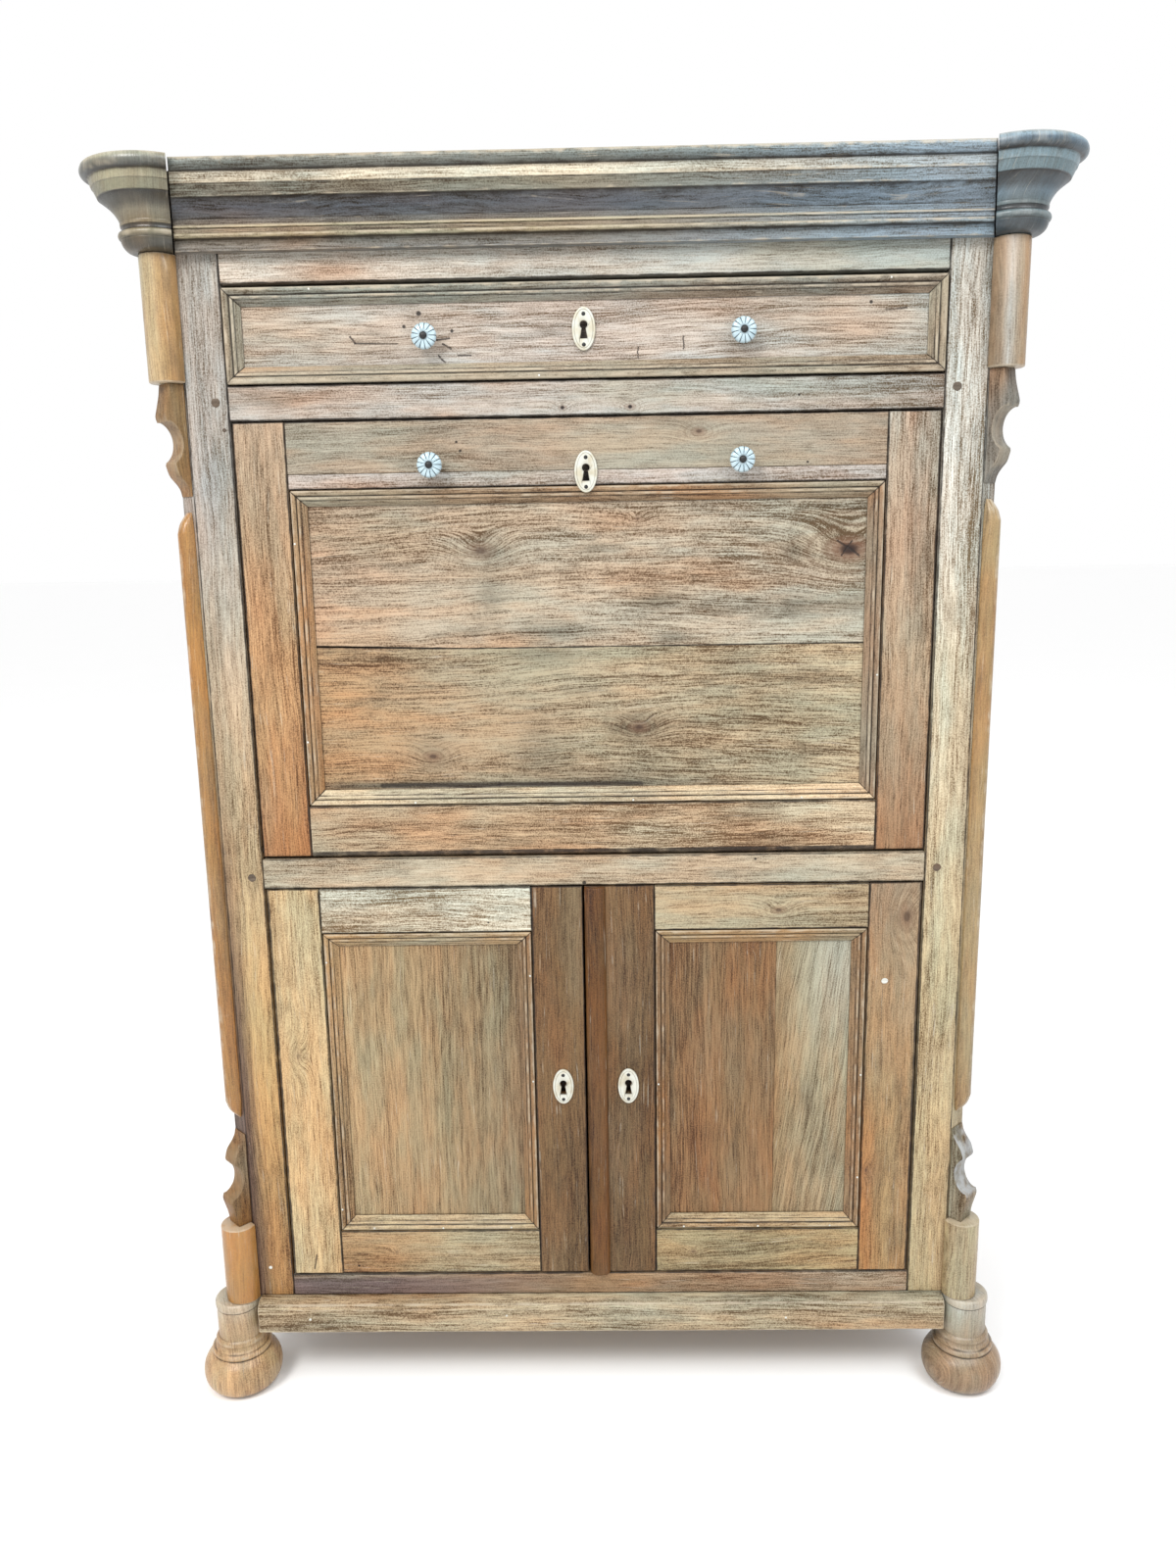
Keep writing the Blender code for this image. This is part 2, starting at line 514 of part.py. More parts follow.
# ---------------------------------------------------------------- writing compartment
unit = add("pigeonhole_unit", box(-UNIT_X, UNIT_X, UNIT_Y0, INNER_BACK - GAP, UNIT_Z0, UNIT_Z1),
           SECONDARY, 0.55)
POCKET_BACK = 0.2337
for x0, x1 in ((-0.370, -0.005), (0.005, 0.370)):
    cut(unit, box(x0, x1, UNIT_Y0 - 0.01, POCKET_BACK, 0.7525, 0.8425))
for x0, x1 in ((-0.3700, -0.1925), (-0.1825, -0.0050), (0.0050, 0.1825), (0.1925, 0.3700)):
    cut(unit, box(x0, x1, UNIT_Y0 - 0.01, POCKET_BACK, 0.8525, 1.0325))
SMALL_KNOB = [(0.0, -0.002), (0.0045, -0.002), (0.0040, 0.0050), (0.0075, 0.0090), (0.0080, 0.0120),
              (0.0055, 0.0150), (0.0, 0.0160)]
for s, side in ((-1, "left"), (1, "right")):
    axis = "inner_" + side + "_axis"
    x0, x1 = sorted((s * 0.0056, s * 0.3694))
    y0 = UNIT_Y0 + GAP
    axis_empty(axis, ((x0 + x1) / 2, y0, 0.7975))
    small = add("inner_drawer_" + side, box(x0, x1, y0, 0.2280, 0.7531, 0.8419), WOOD_PALE, 0.5, axis=axis)
    cut(small, box(x0 + 0.008, x1 - 0.008, y0 + 0.012, 0.2200, 0.7606, 0.86))
    join(small, lathe(SMALL_KNOB, 16, lambda u, v, h, m=(x0 + x1) / 2, y=y0: (m + u, y - h, 0.7975 + v)))

# ---------------------------------------------------------------- origins and parents
for ob in list(scene.collection.objects):
    if ob.type != "MESH":
        continue
    axis = empties.get(ob["axis"])
    del ob["axis"]
    lo = Vector([min(v.co[i] for v in ob.data.vertices) for i in range(3)])
    hi = Vector([max(v.co[i] for v in ob.data.vertices) for i in range(3)])
    at = axis.location.copy() if axis else Vector(((lo.x + hi.x) / 2, (lo.y + hi.y) / 2, lo.z))
    ob.data.transform(Matrix.Translation(-at))
    if axis:
        ob.parent = axis
    else:
        ob.location = at
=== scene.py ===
"""Looks of the fall-front secretary: worn fruitwood boards, turned corners, ceramic knobs, bone key plates.

Metres, +Z up, the front faces -Y.  Every visible board is its own piece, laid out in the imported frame.
"""
import math
import zlib

import bmesh
import bpy
from mathutils import Matrix, Vector, noise


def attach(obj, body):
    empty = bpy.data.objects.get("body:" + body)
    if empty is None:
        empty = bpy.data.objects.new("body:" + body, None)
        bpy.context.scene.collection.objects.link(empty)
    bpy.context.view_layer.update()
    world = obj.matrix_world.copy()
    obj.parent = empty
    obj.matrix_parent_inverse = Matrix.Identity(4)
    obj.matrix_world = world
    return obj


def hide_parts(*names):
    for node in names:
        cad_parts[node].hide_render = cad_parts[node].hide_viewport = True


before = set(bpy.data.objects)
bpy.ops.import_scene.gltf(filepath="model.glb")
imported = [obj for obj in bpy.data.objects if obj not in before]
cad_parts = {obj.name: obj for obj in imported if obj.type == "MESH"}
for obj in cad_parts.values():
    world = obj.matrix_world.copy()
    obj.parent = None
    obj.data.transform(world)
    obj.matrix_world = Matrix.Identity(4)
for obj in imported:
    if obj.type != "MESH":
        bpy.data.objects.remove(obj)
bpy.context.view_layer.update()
scene = bpy.context.scene
scene.view_settings.view_transform = "Standard"
scene.view_settings.look = "None"

# ---------------------------------------------------------------- dimensions of the frame
F = -0.1885              # front plane
GAP = 0.0003
H = 1.4878
ROOT2 = math.sqrt(0.5)
Z_CARCASS = 1.4640
DRAWER_FACE = F + 0.006
FALL_Z0, FALL_Z1 = 0.7185, 1.2238
FALL_AXIS = (F + 0.009, 0.7275)
DOOR_Z0, DOOR_Z1 = 0.1590, 0.6790


# ---------------------------------------------------------------- shader graphs
EXPOSURE = 0.553         # share of the seen brightness that is the surface's own


DEPTH = 1.10             # a little more colour than the pale light lets through
TINT = (0.975, 1.005, 1.065)


def lin(rgb, k=None):
    """Screen colour (0-255) as a linear surface colour."""
    k = EXPOSURE if k is None else k
    out = []
    for v in rgb:
        v = v / 255.0
        out.append(k * (v / 12.92 if v <= 0.04045 else ((v + 0.055) / 1.055) ** 2.4))
    grey = 0.3 * out[0] + 0.6 * out[1] + 0.1 * out[2]
    return (*(max(0.0, grey + (c - grey) * DEPTH) * t for c, t in zip(out, TINT)), 1.0)


class Graph:
    def __init__(self, name):
        self.mat = bpy.data.materials.new(name)
        self.mat.use_nodes = True
        self.tree = self.mat.node_tree
        self.tree.nodes.clear()

    def node(self, kind, **props):
        nd = self.tree.nodes.new("ShaderNode" + kind)
        for key, value in props.items():
            setattr(nd, key, value)
        return nd

    def put(self, socket, value):
        if isinstance(value, bpy.types.NodeSocket):
            self.tree.links.new(value, socket)
        else:
            socket.default_value = value

    def math(self, op, a, b=0.5, c=0.5, clamp=False):
        nd = self.node("Math", operation=op, use_clamp=clamp)
        for s, v in zip(nd.inputs, (a, b, c)):
            self.put(s, v)
        return nd.outputs[0]

    def add(self, a, b):
        return self.math("ADD", a, b)

    def sub(self, a, b):
        return self.math("SUBTRACT", a, b)

    def mul(self, a, b):
        return self.math("MULTIPLY", a, b)

    def madd(self, a, b, c):
        return self.math("MULTIPLY_ADD", a, b, c)

    def xyz(self):
        tc = self.node("TexCoord")
        sp = self.node("SeparateXYZ")
        self.put(sp.inputs[0], tc.outputs["Object"])
        return sp.outputs[0], sp.outputs[1], sp.outputs[2]

    def vec(self, a, b, c):
        nd = self.node("CombineXYZ")
        for s, v in zip(nd.inputs, (a, b, c)):
            self.put(s, v)
        return nd.outputs[0]

    def noise(self, vec, detail=2.0, rough=0.5, scale=1.0):
        nd = self.node("TexNoise", noise_dimensions="3D")
        self.put(nd.inputs["Vector"], vec)
        nd.inputs["Scale"].default_value = scale
        nd.inputs["Detail"].default_value = detail
        nd.inputs["Roughness"].default_value = rough
        return nd.outputs[0]

    def attr(self, name):
        return self.node("Attribute", attribute_type="GEOMETRY", attribute_name=name).outputs["Fac"]

    def smooth(self, value, lo, hi, to0=0.0, to1=1.0):
        nd = self.node("MapRange", interpolation_type="SMOOTHSTEP")
        self.put(nd.inputs[0], value)
        for i, v in ((1, lo), (2, hi), (3, to0), (4, to1)):
            nd.inputs[i].default_value = v
        return nd.outputs[0]

    def mix(self, fac, a, b, mode="MIX"):
        nd = self.node("Mix", data_type="RGBA", blend_type=mode)
        self.put(nd.inputs[0], fac)
        self.put(nd.inputs[6], a)
        self.put(nd.inputs[7], b)
        return nd.outputs[2]

    def ramp(self, fac, stops):
        nd = self.node("ValToRGB")
        el = nd.color_ramp.elements
        while len(el) < len(stops):
            el.new(0.5)
        for e, (pos, col) in zip(el, stops):
            e.position = pos
            e.color = col
        self.put(nd.inputs[0], fac)
        return nd.outputs[0]

    def bump(self, height, strength, distance):
        nd = self.node("Bump")
        nd.inputs["Strength"].default_value = strength
        nd.inputs["Distance"].default_value = distance
        self.put(nd.inputs["Height"], height)
        return nd.outputs[0]

    def finish(self, colour, rough, normal=None, metal=0.0, spec=0.4, coat=0.0, coat_rough=0.2):
        p = self.node("BsdfPrincipled")
        self.put(p.inputs["Base Color"], colour)
        self.put(p.inputs["Roughness"], rough)
        p.inputs["Metallic"].default_value = metal
        p.inputs["Specular IOR Level"].default_value = spec
        if coat:
            p.inputs["Coat Weight"].default_value = coat
            p.inputs["Coat Roughness"].default_value = coat_rough
        if normal is not None:
            self.put(p.inputs["Normal"], normal)
        out = self.node("OutputMaterial")
        self.put(out.inputs["Surface"], p.outputs[0])
        return self.mat


AXES = {"x": (0, 2, 1), "z": (2, 0, 1), "zy": (2, 1, 0), "xy": (0, 1, 2), "y": (1, 2, 0), "yx": (1, 0, 2)}


def wood(name, axis, base, along=None, seed=0.0, figure=0.022, ring=85.0, contrast=1.0, mottle=1.0,
         warm=(186, 130, 80), warm_amt=0.5, cool=(164, 166, 150), cool_amt=0.5, grime=0.3,
         knots=(), holes=(), cracks=(), stain=None, wear=(232, 214, 186), wear_and_highlight_amt=0.6,
         dirt=(38, 28, 22), dirt_and_shade_amt=0.9, rough=0.5, scratch=0.4, spec=0.28, bump=0.45, streak=1.0, hue=0.8,
         lean=0.0, smudges=()):
    """Worn boards.  axis: the way the grain runs and the face it is seen on.  base: one colour, or stops
    (position, colour) along X or Z.  knots: (u, v, size, depth).  holes: (u, v, radius).  cracks: (u0, v0, u1, v1, width).
    smudges: (u, v, half length, half height, strength) of soft grey marks.  lean: slope of the grain.  u is along the grain."""
    g = Graph(name)
    p = g.xyz()
    u, v, w = (p[i] for i in AXES[axis])
    s = g.attr("seed")
    us = g.add(g.madd(s, 1.7, u), seed * 3.1)
    vs = g.add(g.madd(s, 0.53, v), seed * 1.3)
    low = g.noise(g.vec(g.mul(us, 1.5), g.mul(vs, 5.0), g.mul(w, 5.0)), 2.0)
    mid = g.noise(g.vec(g.mul(us, 8.0), g.mul(vs, 26.0), g.mul(w, 26.0)), 2.0)
    h = g.madd(w, 0.4, vs)
    h = g.madd(g.sub(low, 0.5), figure * 2.0, h)
    h = g.madd(g.sub(mid, 0.5), 0.010, h)
    if lean:
        h = g.madd(u, lean, h)
    hearts = []
    for ku, kv, size, depth in knots:
        du = g.mul(g.sub(u, ku), 1.0 / (1.7 * size))
        dv = g.mul(g.sub(v, kv), 1.0 / size)
        d2 = g.madd(du, du, g.mul(dv, dv))
        d2 = g.mul(d2, g.madd(mid, 1.2, 0.4))
        e = g.math("EXPONENT", g.mul(d2, -0.4))
        h = g.madd(e, 1.6 * size, h)
        wave = g.math("SINE", g.mul(g.math("SQRT", d2), 11.0))
        wave = g.mul(g.smooth(wave, -0.1, 0.95), g.math("EXPONENT", g.mul(d2, -0.30)))
        hearts.append((g.smooth(g.math("EXPONENT", g.mul(d2, -1.6)), 0.30, 0.85), g.smooth(g.math("EXPONENT", g.mul(d2, -9.0)), 0.2, 0.9),
                       wave, depth))
    rings = g.noise(g.vec(g.mul(h, ring), us, g.mul(w, 6.0)), 3.0, 0.55)
    fibre = g.noise(g.vec(g.mul(h, 420.0), g.mul(us, 7.0), g.mul(w, 30.0)), 3.0, 0.65)
    tick = g.noise(g.vec(g.mul(h, 950.0), g.mul(us, 34.0), g.mul(w, 80.0)), 2.0, 0.6)
    speck = g.noise(g.vec(g.mul(p[0], 620.0), g.mul(p[1], 620.0), g.mul(p[2], 620.0)), 1.0)
    vein = g.noise(g.vec(g.mul(h, 130.0), g.madd(us, 1.8, 4.0), g.mul(w, 8.0)), 2.0, 0.5)
    vein = g.mul(g.smooth(g.math("ABSOLUTE", g.sub(vein, 0.5)), 0.045, 0.0), g.smooth(tick, 0.35, 0.55, 0.3, 1.0))
    patch = g.noise(g.vec(g.mul(us, 3.2), g.mul(vs, 10.0), g.mul(w, 10.0)), 3.0, 0.55)
    cloud = g.noise(g.vec(g.madd(us, 2.6, 31.0), g.madd(vs, 8.0, 17.0), g.mul(w, 8.0)), 4.0, 0.6)
    blotch = g.noise(g.vec(g.mul(p[0], 60.0), g.mul(p[1], 60.0), g.mul(p[2], 60.0)), 2.0, 0.55)
    # light and dark of the grain: broad rings, fibres, pores, dust, and slow clouds over the board
    tone = g.mul(g.sub(rings, 0.5), 0.58 * contrast * streak)
    tone = g.madd(g.sub(fibre, 0.5), 0.85 * contrast, tone)
    tone = g.madd(g.sub(tick, 0.5), 1.65 * contrast, tone)
    tone = g.madd(g.sub(speck, 0.5), 1.0 * contrast, tone)
    tone = g.madd(vein, -0.20 * contrast, tone)
    tone = g.math("MULTIPLY_ADD", g.sub(cloud, 0.5), 1.15 * mottle, tone)
    tone = g.math("ADD", tone, 0.5, clamp=True)
    even = g.mul(tone, g.madd(tone, -0.5, 1.5))

    if along is None:
        col = lin(base)
    else:
        lo, hi = base[0][0], base[-1][0]
        t = g.mul(g.sub(p["xyz".index(along)], lo), 1.0 / (hi - lo))
        if hi - lo > 0.2:
            t = g.madd(g.sub(patch, 0.5), 0.16, t)
        col = g.ramp(t, [((q - lo) / (hi - lo), lin(c)) for q, c in base])
    if cool_amt:
        col = g.mix(g.mul(g.smooth(patch, 0.52, 0.32), cool_amt), col, lin(cool))
    if warm_amt:
        col = g.mix(g.mul(g.smooth(patch, 0.50, 0.68), warm_amt), col, lin(warm))
    if hue:
        drift = g.noise(g.vec(g.madd(us, 8.0, 11.0), g.madd(vs, 36.0, 5.0), g.mul(w, 36.0)), 3.0, 0.6)
        drift = g.mix(g.smooth(drift, 0.34, 0.66), (1.08, 0.985, 0.88, 1.0), (0.94, 1.015, 1.01, 1.0))
        col = g.mix(hue, col, drift, "MULTIPLY")
    for mu, mv, lu, lv, amount in smudges:
        du, dv = g.mul(g.sub(u, mu), 1.0 / lu), g.mul(g.sub(v, mv), 1.0 / lv)
        d2 = g.mul(g.madd(du, du, g.mul(dv, dv)), g.madd(mid, 1.6, 0.2))
        col = g.mix(g.mul(g.math("EXPONENT", g.mul(d2, -1.0)), amount), col, lin((102, 100, 86)))
    if grime:
        smear = g.noise(g.vec(g.madd(us, 9.0, 5.0), g.madd(vs, 24.0, 3.0), g.mul(w, 24.0)), 4.0, 0.65)
        col = g.mix(g.mul(g.smooth(smear, 0.54, 0.72), grime), col, lin((92, 80, 62)))
    if stain:
        mask, tint = stain(g, p, patch, fibre)
        col = g.mix(mask, col, lin(tint))
    grain = g.mix(even, (0.26, 0.18, 0.10, 1.0), (1.48, 1.52, 1.53, 1.0))
    col = g.mix(1.0, col, grain, "MULTIPLY")
    if scratch:
        line = g.noise(g.vec(g.mul(h, 640.0), g.madd(us, 13.0, 7.7), g.mul(w, 40.0)), 1.0)
        line = g.mul(g.smooth(line, 0.64, 0.74), g.smooth(blotch, 0.45, 0.62, 0.15, 1.0))
        col = g.mix(g.mul(line, scratch), col, lin((232, 218, 194)))
    # Pale rubbed edges and bead crests: partly real wear, partly painted highlight.
    worn = g.smooth(g.madd(g.sub(blotch, 0.5), 1.5, g.attr("wear")), 0.42, 1.0)
    col = g.mix(g.mul(worn, wear_and_highlight_amt), col, lin(wear))
    # Dark quirks, hollows, recesses and joints: partly dirt, partly painted shade.
    soil_and_shade = g.smooth(g.madd(g.sub(blotch, 0.5), 0.9, g.attr("dirt")), 0.32, 0.95)
    col = g.mix(g.mul(soil_and_shade, dirt_and_shade_amt), col, lin(dirt))
    height = g.madd(fibre, 0.45, g.madd(tick, 0.35, g.mul(rings, 0.3)))
    for mask, core, wave, depth in hearts:
        col = g.mix(g.mul(wave, depth * 0.55), col, lin((112, 82, 58)))
        col = g.mix(g.mul(mask, depth * 0.75), col, lin((132, 94, 72)))
        col = g.mix(g.mul(core, depth), col, lin((62, 44, 36)))
    for hu, hv, hr in holes:
        du, dv = g.sub(u, hu), g.sub(v, hv)
        d = g.math("SQRT", g.madd(du, du, g.mul(dv, dv)))
        mask = g.smooth(d, hr * 1.25, hr * 0.6)
        col = g.mix(g.mul(mask, 0.92), col, lin((34, 25, 20)))
        height = g.madd(mask, -2.0, height)
    if cracks:
        cu = g.madd(g.sub(fibre, 0.5), 0.004, u)
        cv = g.madd(g.sub(mid, 0.5), 0.010, v)
    for u0, v0, u1, v1, cw in cracks:
        dx, dz = u1 - u0, v1 - v0
        len2 = dx * dx + dz * dz
        pu, pv = g.sub(cu, u0), g.sub(cv, v0)
        t = g.math("MULTIPLY", g.madd(pu, dx, g.mul(pv, dz)), 1.0 / len2, clamp=True)
        eu, ev = g.madd(t, -dx, pu), g.madd(t, -dz, pv)
        d = g.math("SQRT", g.madd(eu, eu, g.mul(ev, ev)))
        mask = g.mul(g.smooth(d, cw, cw * 0.4), g.smooth(tick, 0.36, 0.5, 0.35, 1.0))
        col = g.mix(g.mul(mask, 0.85), col, lin((44, 32, 26)))
        height = g.madd(mask, -2.0, height)
    r = g.madd(tone, -0.18, g.madd(blotch, 0.22, g.madd(worn, 0.08, rough - 0.02)))
    return g.finish(col, r, g.bump(height, bump, 0.0010), spec=spec)


def bone_mat():
    g = Graph("bone")
    x, y, z = g.xyz()
    streak = g.noise(g.vec(g.mul(x, 900.0), g.mul(y, 200.0), g.mul(z, 60.0)), 3.0)
    cloud = g.noise(g.vec(g.mul(x, 90.0), g.mul(y, 90.0), g.mul(z, 90.0)), 2.0)
    col = g.mix(g.smooth(cloud, 0.35, 0.7), lin((233, 230, 214), 0.68), lin((216, 206, 180), 0.68))
    col = g.mix(g.mul(g.smooth(streak, 0.55, 0.75), 0.35), col, lin((196, 178, 142)))
    # Dark keyhole walls, rim groove and outer edge: partly grime, partly painted shade.
    soil_and_shade = g.math("MULTIPLY", g.attr("dirt"), g.madd(cloud, 1.2, 0.4), clamp=True)
    col = g.mix(g.mul(soil_and_shade, 0.8), col, lin((74, 58, 44)))
    return g.finish(col, g.madd(cloud, 0.25, 0.22), g.bump(streak, 0.12, 0.0003), spec=0.5)


def ceramic_mat():
    g = Graph("ceramic")
    x, y, z = g.xyz()
    cloud = g.noise(g.vec(g.mul(x, 160.0), g.mul(y, 160.0), g.mul(z, 160.0)), 3.0)
    speck = g.noise(g.vec(g.mul(x, 900.0), g.mul(y, 900.0), g.mul(z, 900.0)), 1.0)
    col = g.mix(g.smooth(cloud, 0.35, 0.7), lin((216, 234, 236), 0.64), lin((192, 212, 216), 0.64))
    col = g.mix(g.mul(g.smooth(speck, 0.68, 0.74), 0.5), col, lin((150, 150, 146)))
    # Dark flute grooves and the neck against the board: painted shade.
    soil_and_shade = g.math("MULTIPLY", g.attr("dirt"), g.madd(cloud, 0.8, 0.6), clamp=True)
    col = g.mix(g.mul(soil_and_shade, 0.96), col, lin((44, 50, 56)))
    return g.finish(col, g.madd(cloud, 0.15, 0.10), g.bump(cloud, 0.08, 0.0004), spec=0.5, coat=0.4, coat_rough=0.08)


def metal_mat(name, light, dark, metal, rough, scale=300.0):
    g = Graph(name)
    x, y, z = g.xyz()
    cloud = g.noise(g.vec(g.mul(x, scale), g.mul(y, scale), g.mul(z, scale)), 3.0, 0.6)
    brush = g.noise(g.vec(g.mul(x, 2400.0), g.mul(y, 500.0), g.mul(z, 500.0)), 1.0)
    col = g.mix(g.smooth(cloud, 0.35, 0.68), lin(light, 1.0), lin(dark, 1.0))
    col = g.mix(g.mul(g.attr("wear"), 0.25), col, lin((220, 214, 204), 1.0))
    return g.finish(col, g.madd(cloud, 0.3, g.madd(brush, 0.1, rough - 0.2)), g.bump(cloud, 0.2, 0.0003), metal=metal, spec=0.5)


# ---------------------------------------------------------------- meshes
def seed_of(name):
    return (zlib.crc32(name.encode()) % 997) / 100.0


def make(name, verts, faces, mat, body, nodes=(), slot="wood", wear=None, dirt=None, angle=35.0, seed=None):
    me = bpy.data.meshes.new(name)
    me.from_pydata([tuple(v) for v in verts], [], faces)
    bm = bmesh.new()
    bm.from_mesh(me)
    bmesh.ops.recalc_face_normals(bm, faces=bm.faces)
    if bm.calc_volume(signed=True) < 0:
        bmesh.ops.reverse_faces(bm, faces=bm.faces)
    bm.to_mesh(me)
    bm.free()
    n = len(me.vertices)
    value = seed_of(name) if seed is None else seed
    # Per-point values for the shaders: paleness of edges (partly wear, partly painted highlight), darkness of creases,
    # hollows and joints (partly dirt, partly painted shade), and a seed per piece.
    for key, vals in (("wear", wear), ("dirt", dirt), ("seed", [value] * n)):
        att = me.attributes.new(key, "FLOAT", "POINT")
        if vals is not None:
            att.data.foreach_set("value", [min(1.0, max(0.0, q)) for q in vals] if key != "seed" else vals)
    me.shade_smooth()
    me.set_sharp_from_angle(angle=math.radians(angle))
    me.materials.append(mat)
    ob = bpy.data.objects.new(name, me)
    scene.collection.objects.link(ob)
    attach(ob, body)
    if nodes:
        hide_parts(*nodes)
    return ob


def carve(ob, *cutters):
    """Cuts closed bodies, given as (vertices, faces), out of a piece."""
    for verts, faces in cutters:
        me = bpy.data.meshes.new("cutter")
        me.from_pydata(verts, [], faces)
        bm = bmesh.new()
        bm.from_mesh(me)
        bmesh.ops.recalc_face_normals(bm, faces=bm.faces)
        bm.to_mesh(me)
        bm.free()
        tool = bpy.data.objects.new("cutter", me)
        scene.collection.objects.link(tool)
        mod = ob.modifiers.new("cut", "BOOLEAN")
        mod.operation = "DIFFERENCE"
        mod.solver = "EXACT"
        mod.object = tool
        bpy.context.view_layer.update()
        out = bpy.data.meshes.new_from_object(ob.evaluated_get(bpy.context.evaluated_depsgraph_get()))
        ob.modifiers.clear()
        old, ob.data = ob.data, out
        bpy.data.meshes.remove(old)
        out.name = ob.name
        bpy.data.objects.remove(tool, do_unlink=True)
        bpy.data.meshes.remove(me)
    value = seed_of(ob.name)
    ob.data.attributes["seed"].data.foreach_set("value", [value] * len(ob.data.vertices))
    return ob


def prism_body(points, along, lo, hi):
    put = {"x": lambda p, t: (t, p[0], p[1]), "y": lambda p, t: (p[0], t, p[1]), "z": lambda p, t: (p[0], p[1], t)}[along]
    n = len(points)
    verts = [put(p, lo) for p in points] + [put(p, hi) for p in points]
    faces = [list(range(n)), list(range(n, 2 * n))]
    faces += [[i, (i + 1) % n, n + (i + 1) % n, n + i] for i in range(n)]
    return verts, faces


def box_body(x0, x1, y0, y1, z0, z1):
    return prism_body([(x0, y0), (x1, y0), (x1, y1), (x0, y1)], "z", z0, z1)


def rod_body(c, along, r, lo, hi, segs=24):
    return prism_body([(c[0] + r * math.cos(2 * math.pi * k / segs), c[1] + r * math.sin(2 * math.pi * k / segs))
                       for k in range(segs)], along, lo, hi)


def outline(corners, step=0.028, edge=0.0015, seg=4):
    """Closed outline with rounded corners; corners are (p, q, radius[, paleness]).  Gives (p, q, paleness), the
    paleness being partly wear, partly painted highlight.
    """
    area = sum(a[0] * b[1] - b[0] * a[1] for a, b in zip(corners, corners[1:] + corners[:1]))
    if area < 0:
        corners = corners[::-1]
    n = len(corners)
    rounds = []
    for i in range(n):
        p0, p1, p2 = (Vector(corners[j % n][:2]) for j in (i - 1, i, i + 1))
        a, b = (p0 - p1), (p2 - p1)
        la, lb = a.length, b.length
        a, b = a / la, b / lb
        half = math.acos(max(-1.0, min(1.0, a.dot(b)))) / 2
        d = min(corners[i][2] / max(1e-6, math.tan(half)), 0.45 * la, 0.45 * lb)
        wear = corners[i][3] if len(corners[i]) > 3 else 1.0
        if d < 1e-7 or half > math.radians(89.5):
            rounds.append(([p1], wear))
            continue
        r = d * math.tan(half)
        c = p1 + (a + b).normalized() * (r / math.sin(half))
        v1, v2 = p1 + a * d - c, p1 + b * d - c
        turn = math.pi - 2 * half
        arc = []
        for k in range(seg + 1):
            f = k / seg
            arc.append(c + (v1 * math.sin((1 - f) * turn) + v2 * math.sin(f * turn)) / math.sin(turn))
        rounds.append((arc, wear))
    out = []
    for i in range(n):
        arc, wear = rounds[i]
        out += [(q.x, q.y, wear) for q in arc]
        nxt, next_wear_and_highlight = rounds[(i + 1) % n]
        a, b = arc[-1], nxt[0]
        length = (b - a).length
        if length < 1e-6:
            continue
        if length <= 3 * edge:
            if length > 0.003:
                m = (a + b) / 2
                out.append((m.x, m.y, 0.35 * min(wear, next_wear_and_highlight)))
            continue
        inner = length - 2 * edge
        k = max(1, round(inner / step))
        for j in range(k + 1):
            m = a + (b - a) * ((edge + inner * j / k) / length)
            out.append((m.x, m.y, 0.0))
    return out


def inward(points):
    """Inward unit normals, lengthened at corners, of a closed counter-clockwise outline."""
    n = len(points)
    normals = []
    for i in range(n):
        a, b, c = (Vector(points[j % n][:2]) for j in (i - 1, i, i + 1))
        e1, e2 = (b - a).normalized(), (c - b).normalized()
        n1, n2 = Vector((-e1.y, e1.x)), Vector((-e2.y, e2.x))
        m = n1 + n2
        if m.length < 1e-6:
            m = n1
        m.normalize()
        normals.append(m / max(0.5, m.dot(n1)))
    return normals


def room(points, normals):
    """How far each point of an outline can move inwards before the outline folds over itself."""
    n = len(points)
    at = [Vector(p[:2]) for p in points]
    out = [1.0] * n
    for i in range(n):
        j = (i + 1) % n
        edge = at[j] - at[i]
        close = (normals[i] - normals[j]).dot(edge.normalized()) if edge.length > 1e-9 else 0.0
        if close > 1e-6:
            d = 0.9 * edge.length / close
            out[i], out[j] = min(out[i], d), min(out[j], d)
    for i in range(n):
        for j in range(n):
            k = (j + 1) % n
            if i in (j, k):
                continue
            edge, to, m = at[k] - at[j], at[j] - at[i], normals[i]
            det = edge.x * m.y - edge.y * m.x
            if abs(det) < 1e-12:
                continue
            f, d = (to.y * m.x - to.x * m.y) / det, (edge.x * to.y - edge.y * to.x) / det
            if 0.0 <= f <= 1.0 and d > 1e-7:
                out[i] = min(out[i], 0.42 * d)
    return [min(out[i - 1], out[i], out[(i + 1) % n]) for i in range(n)]


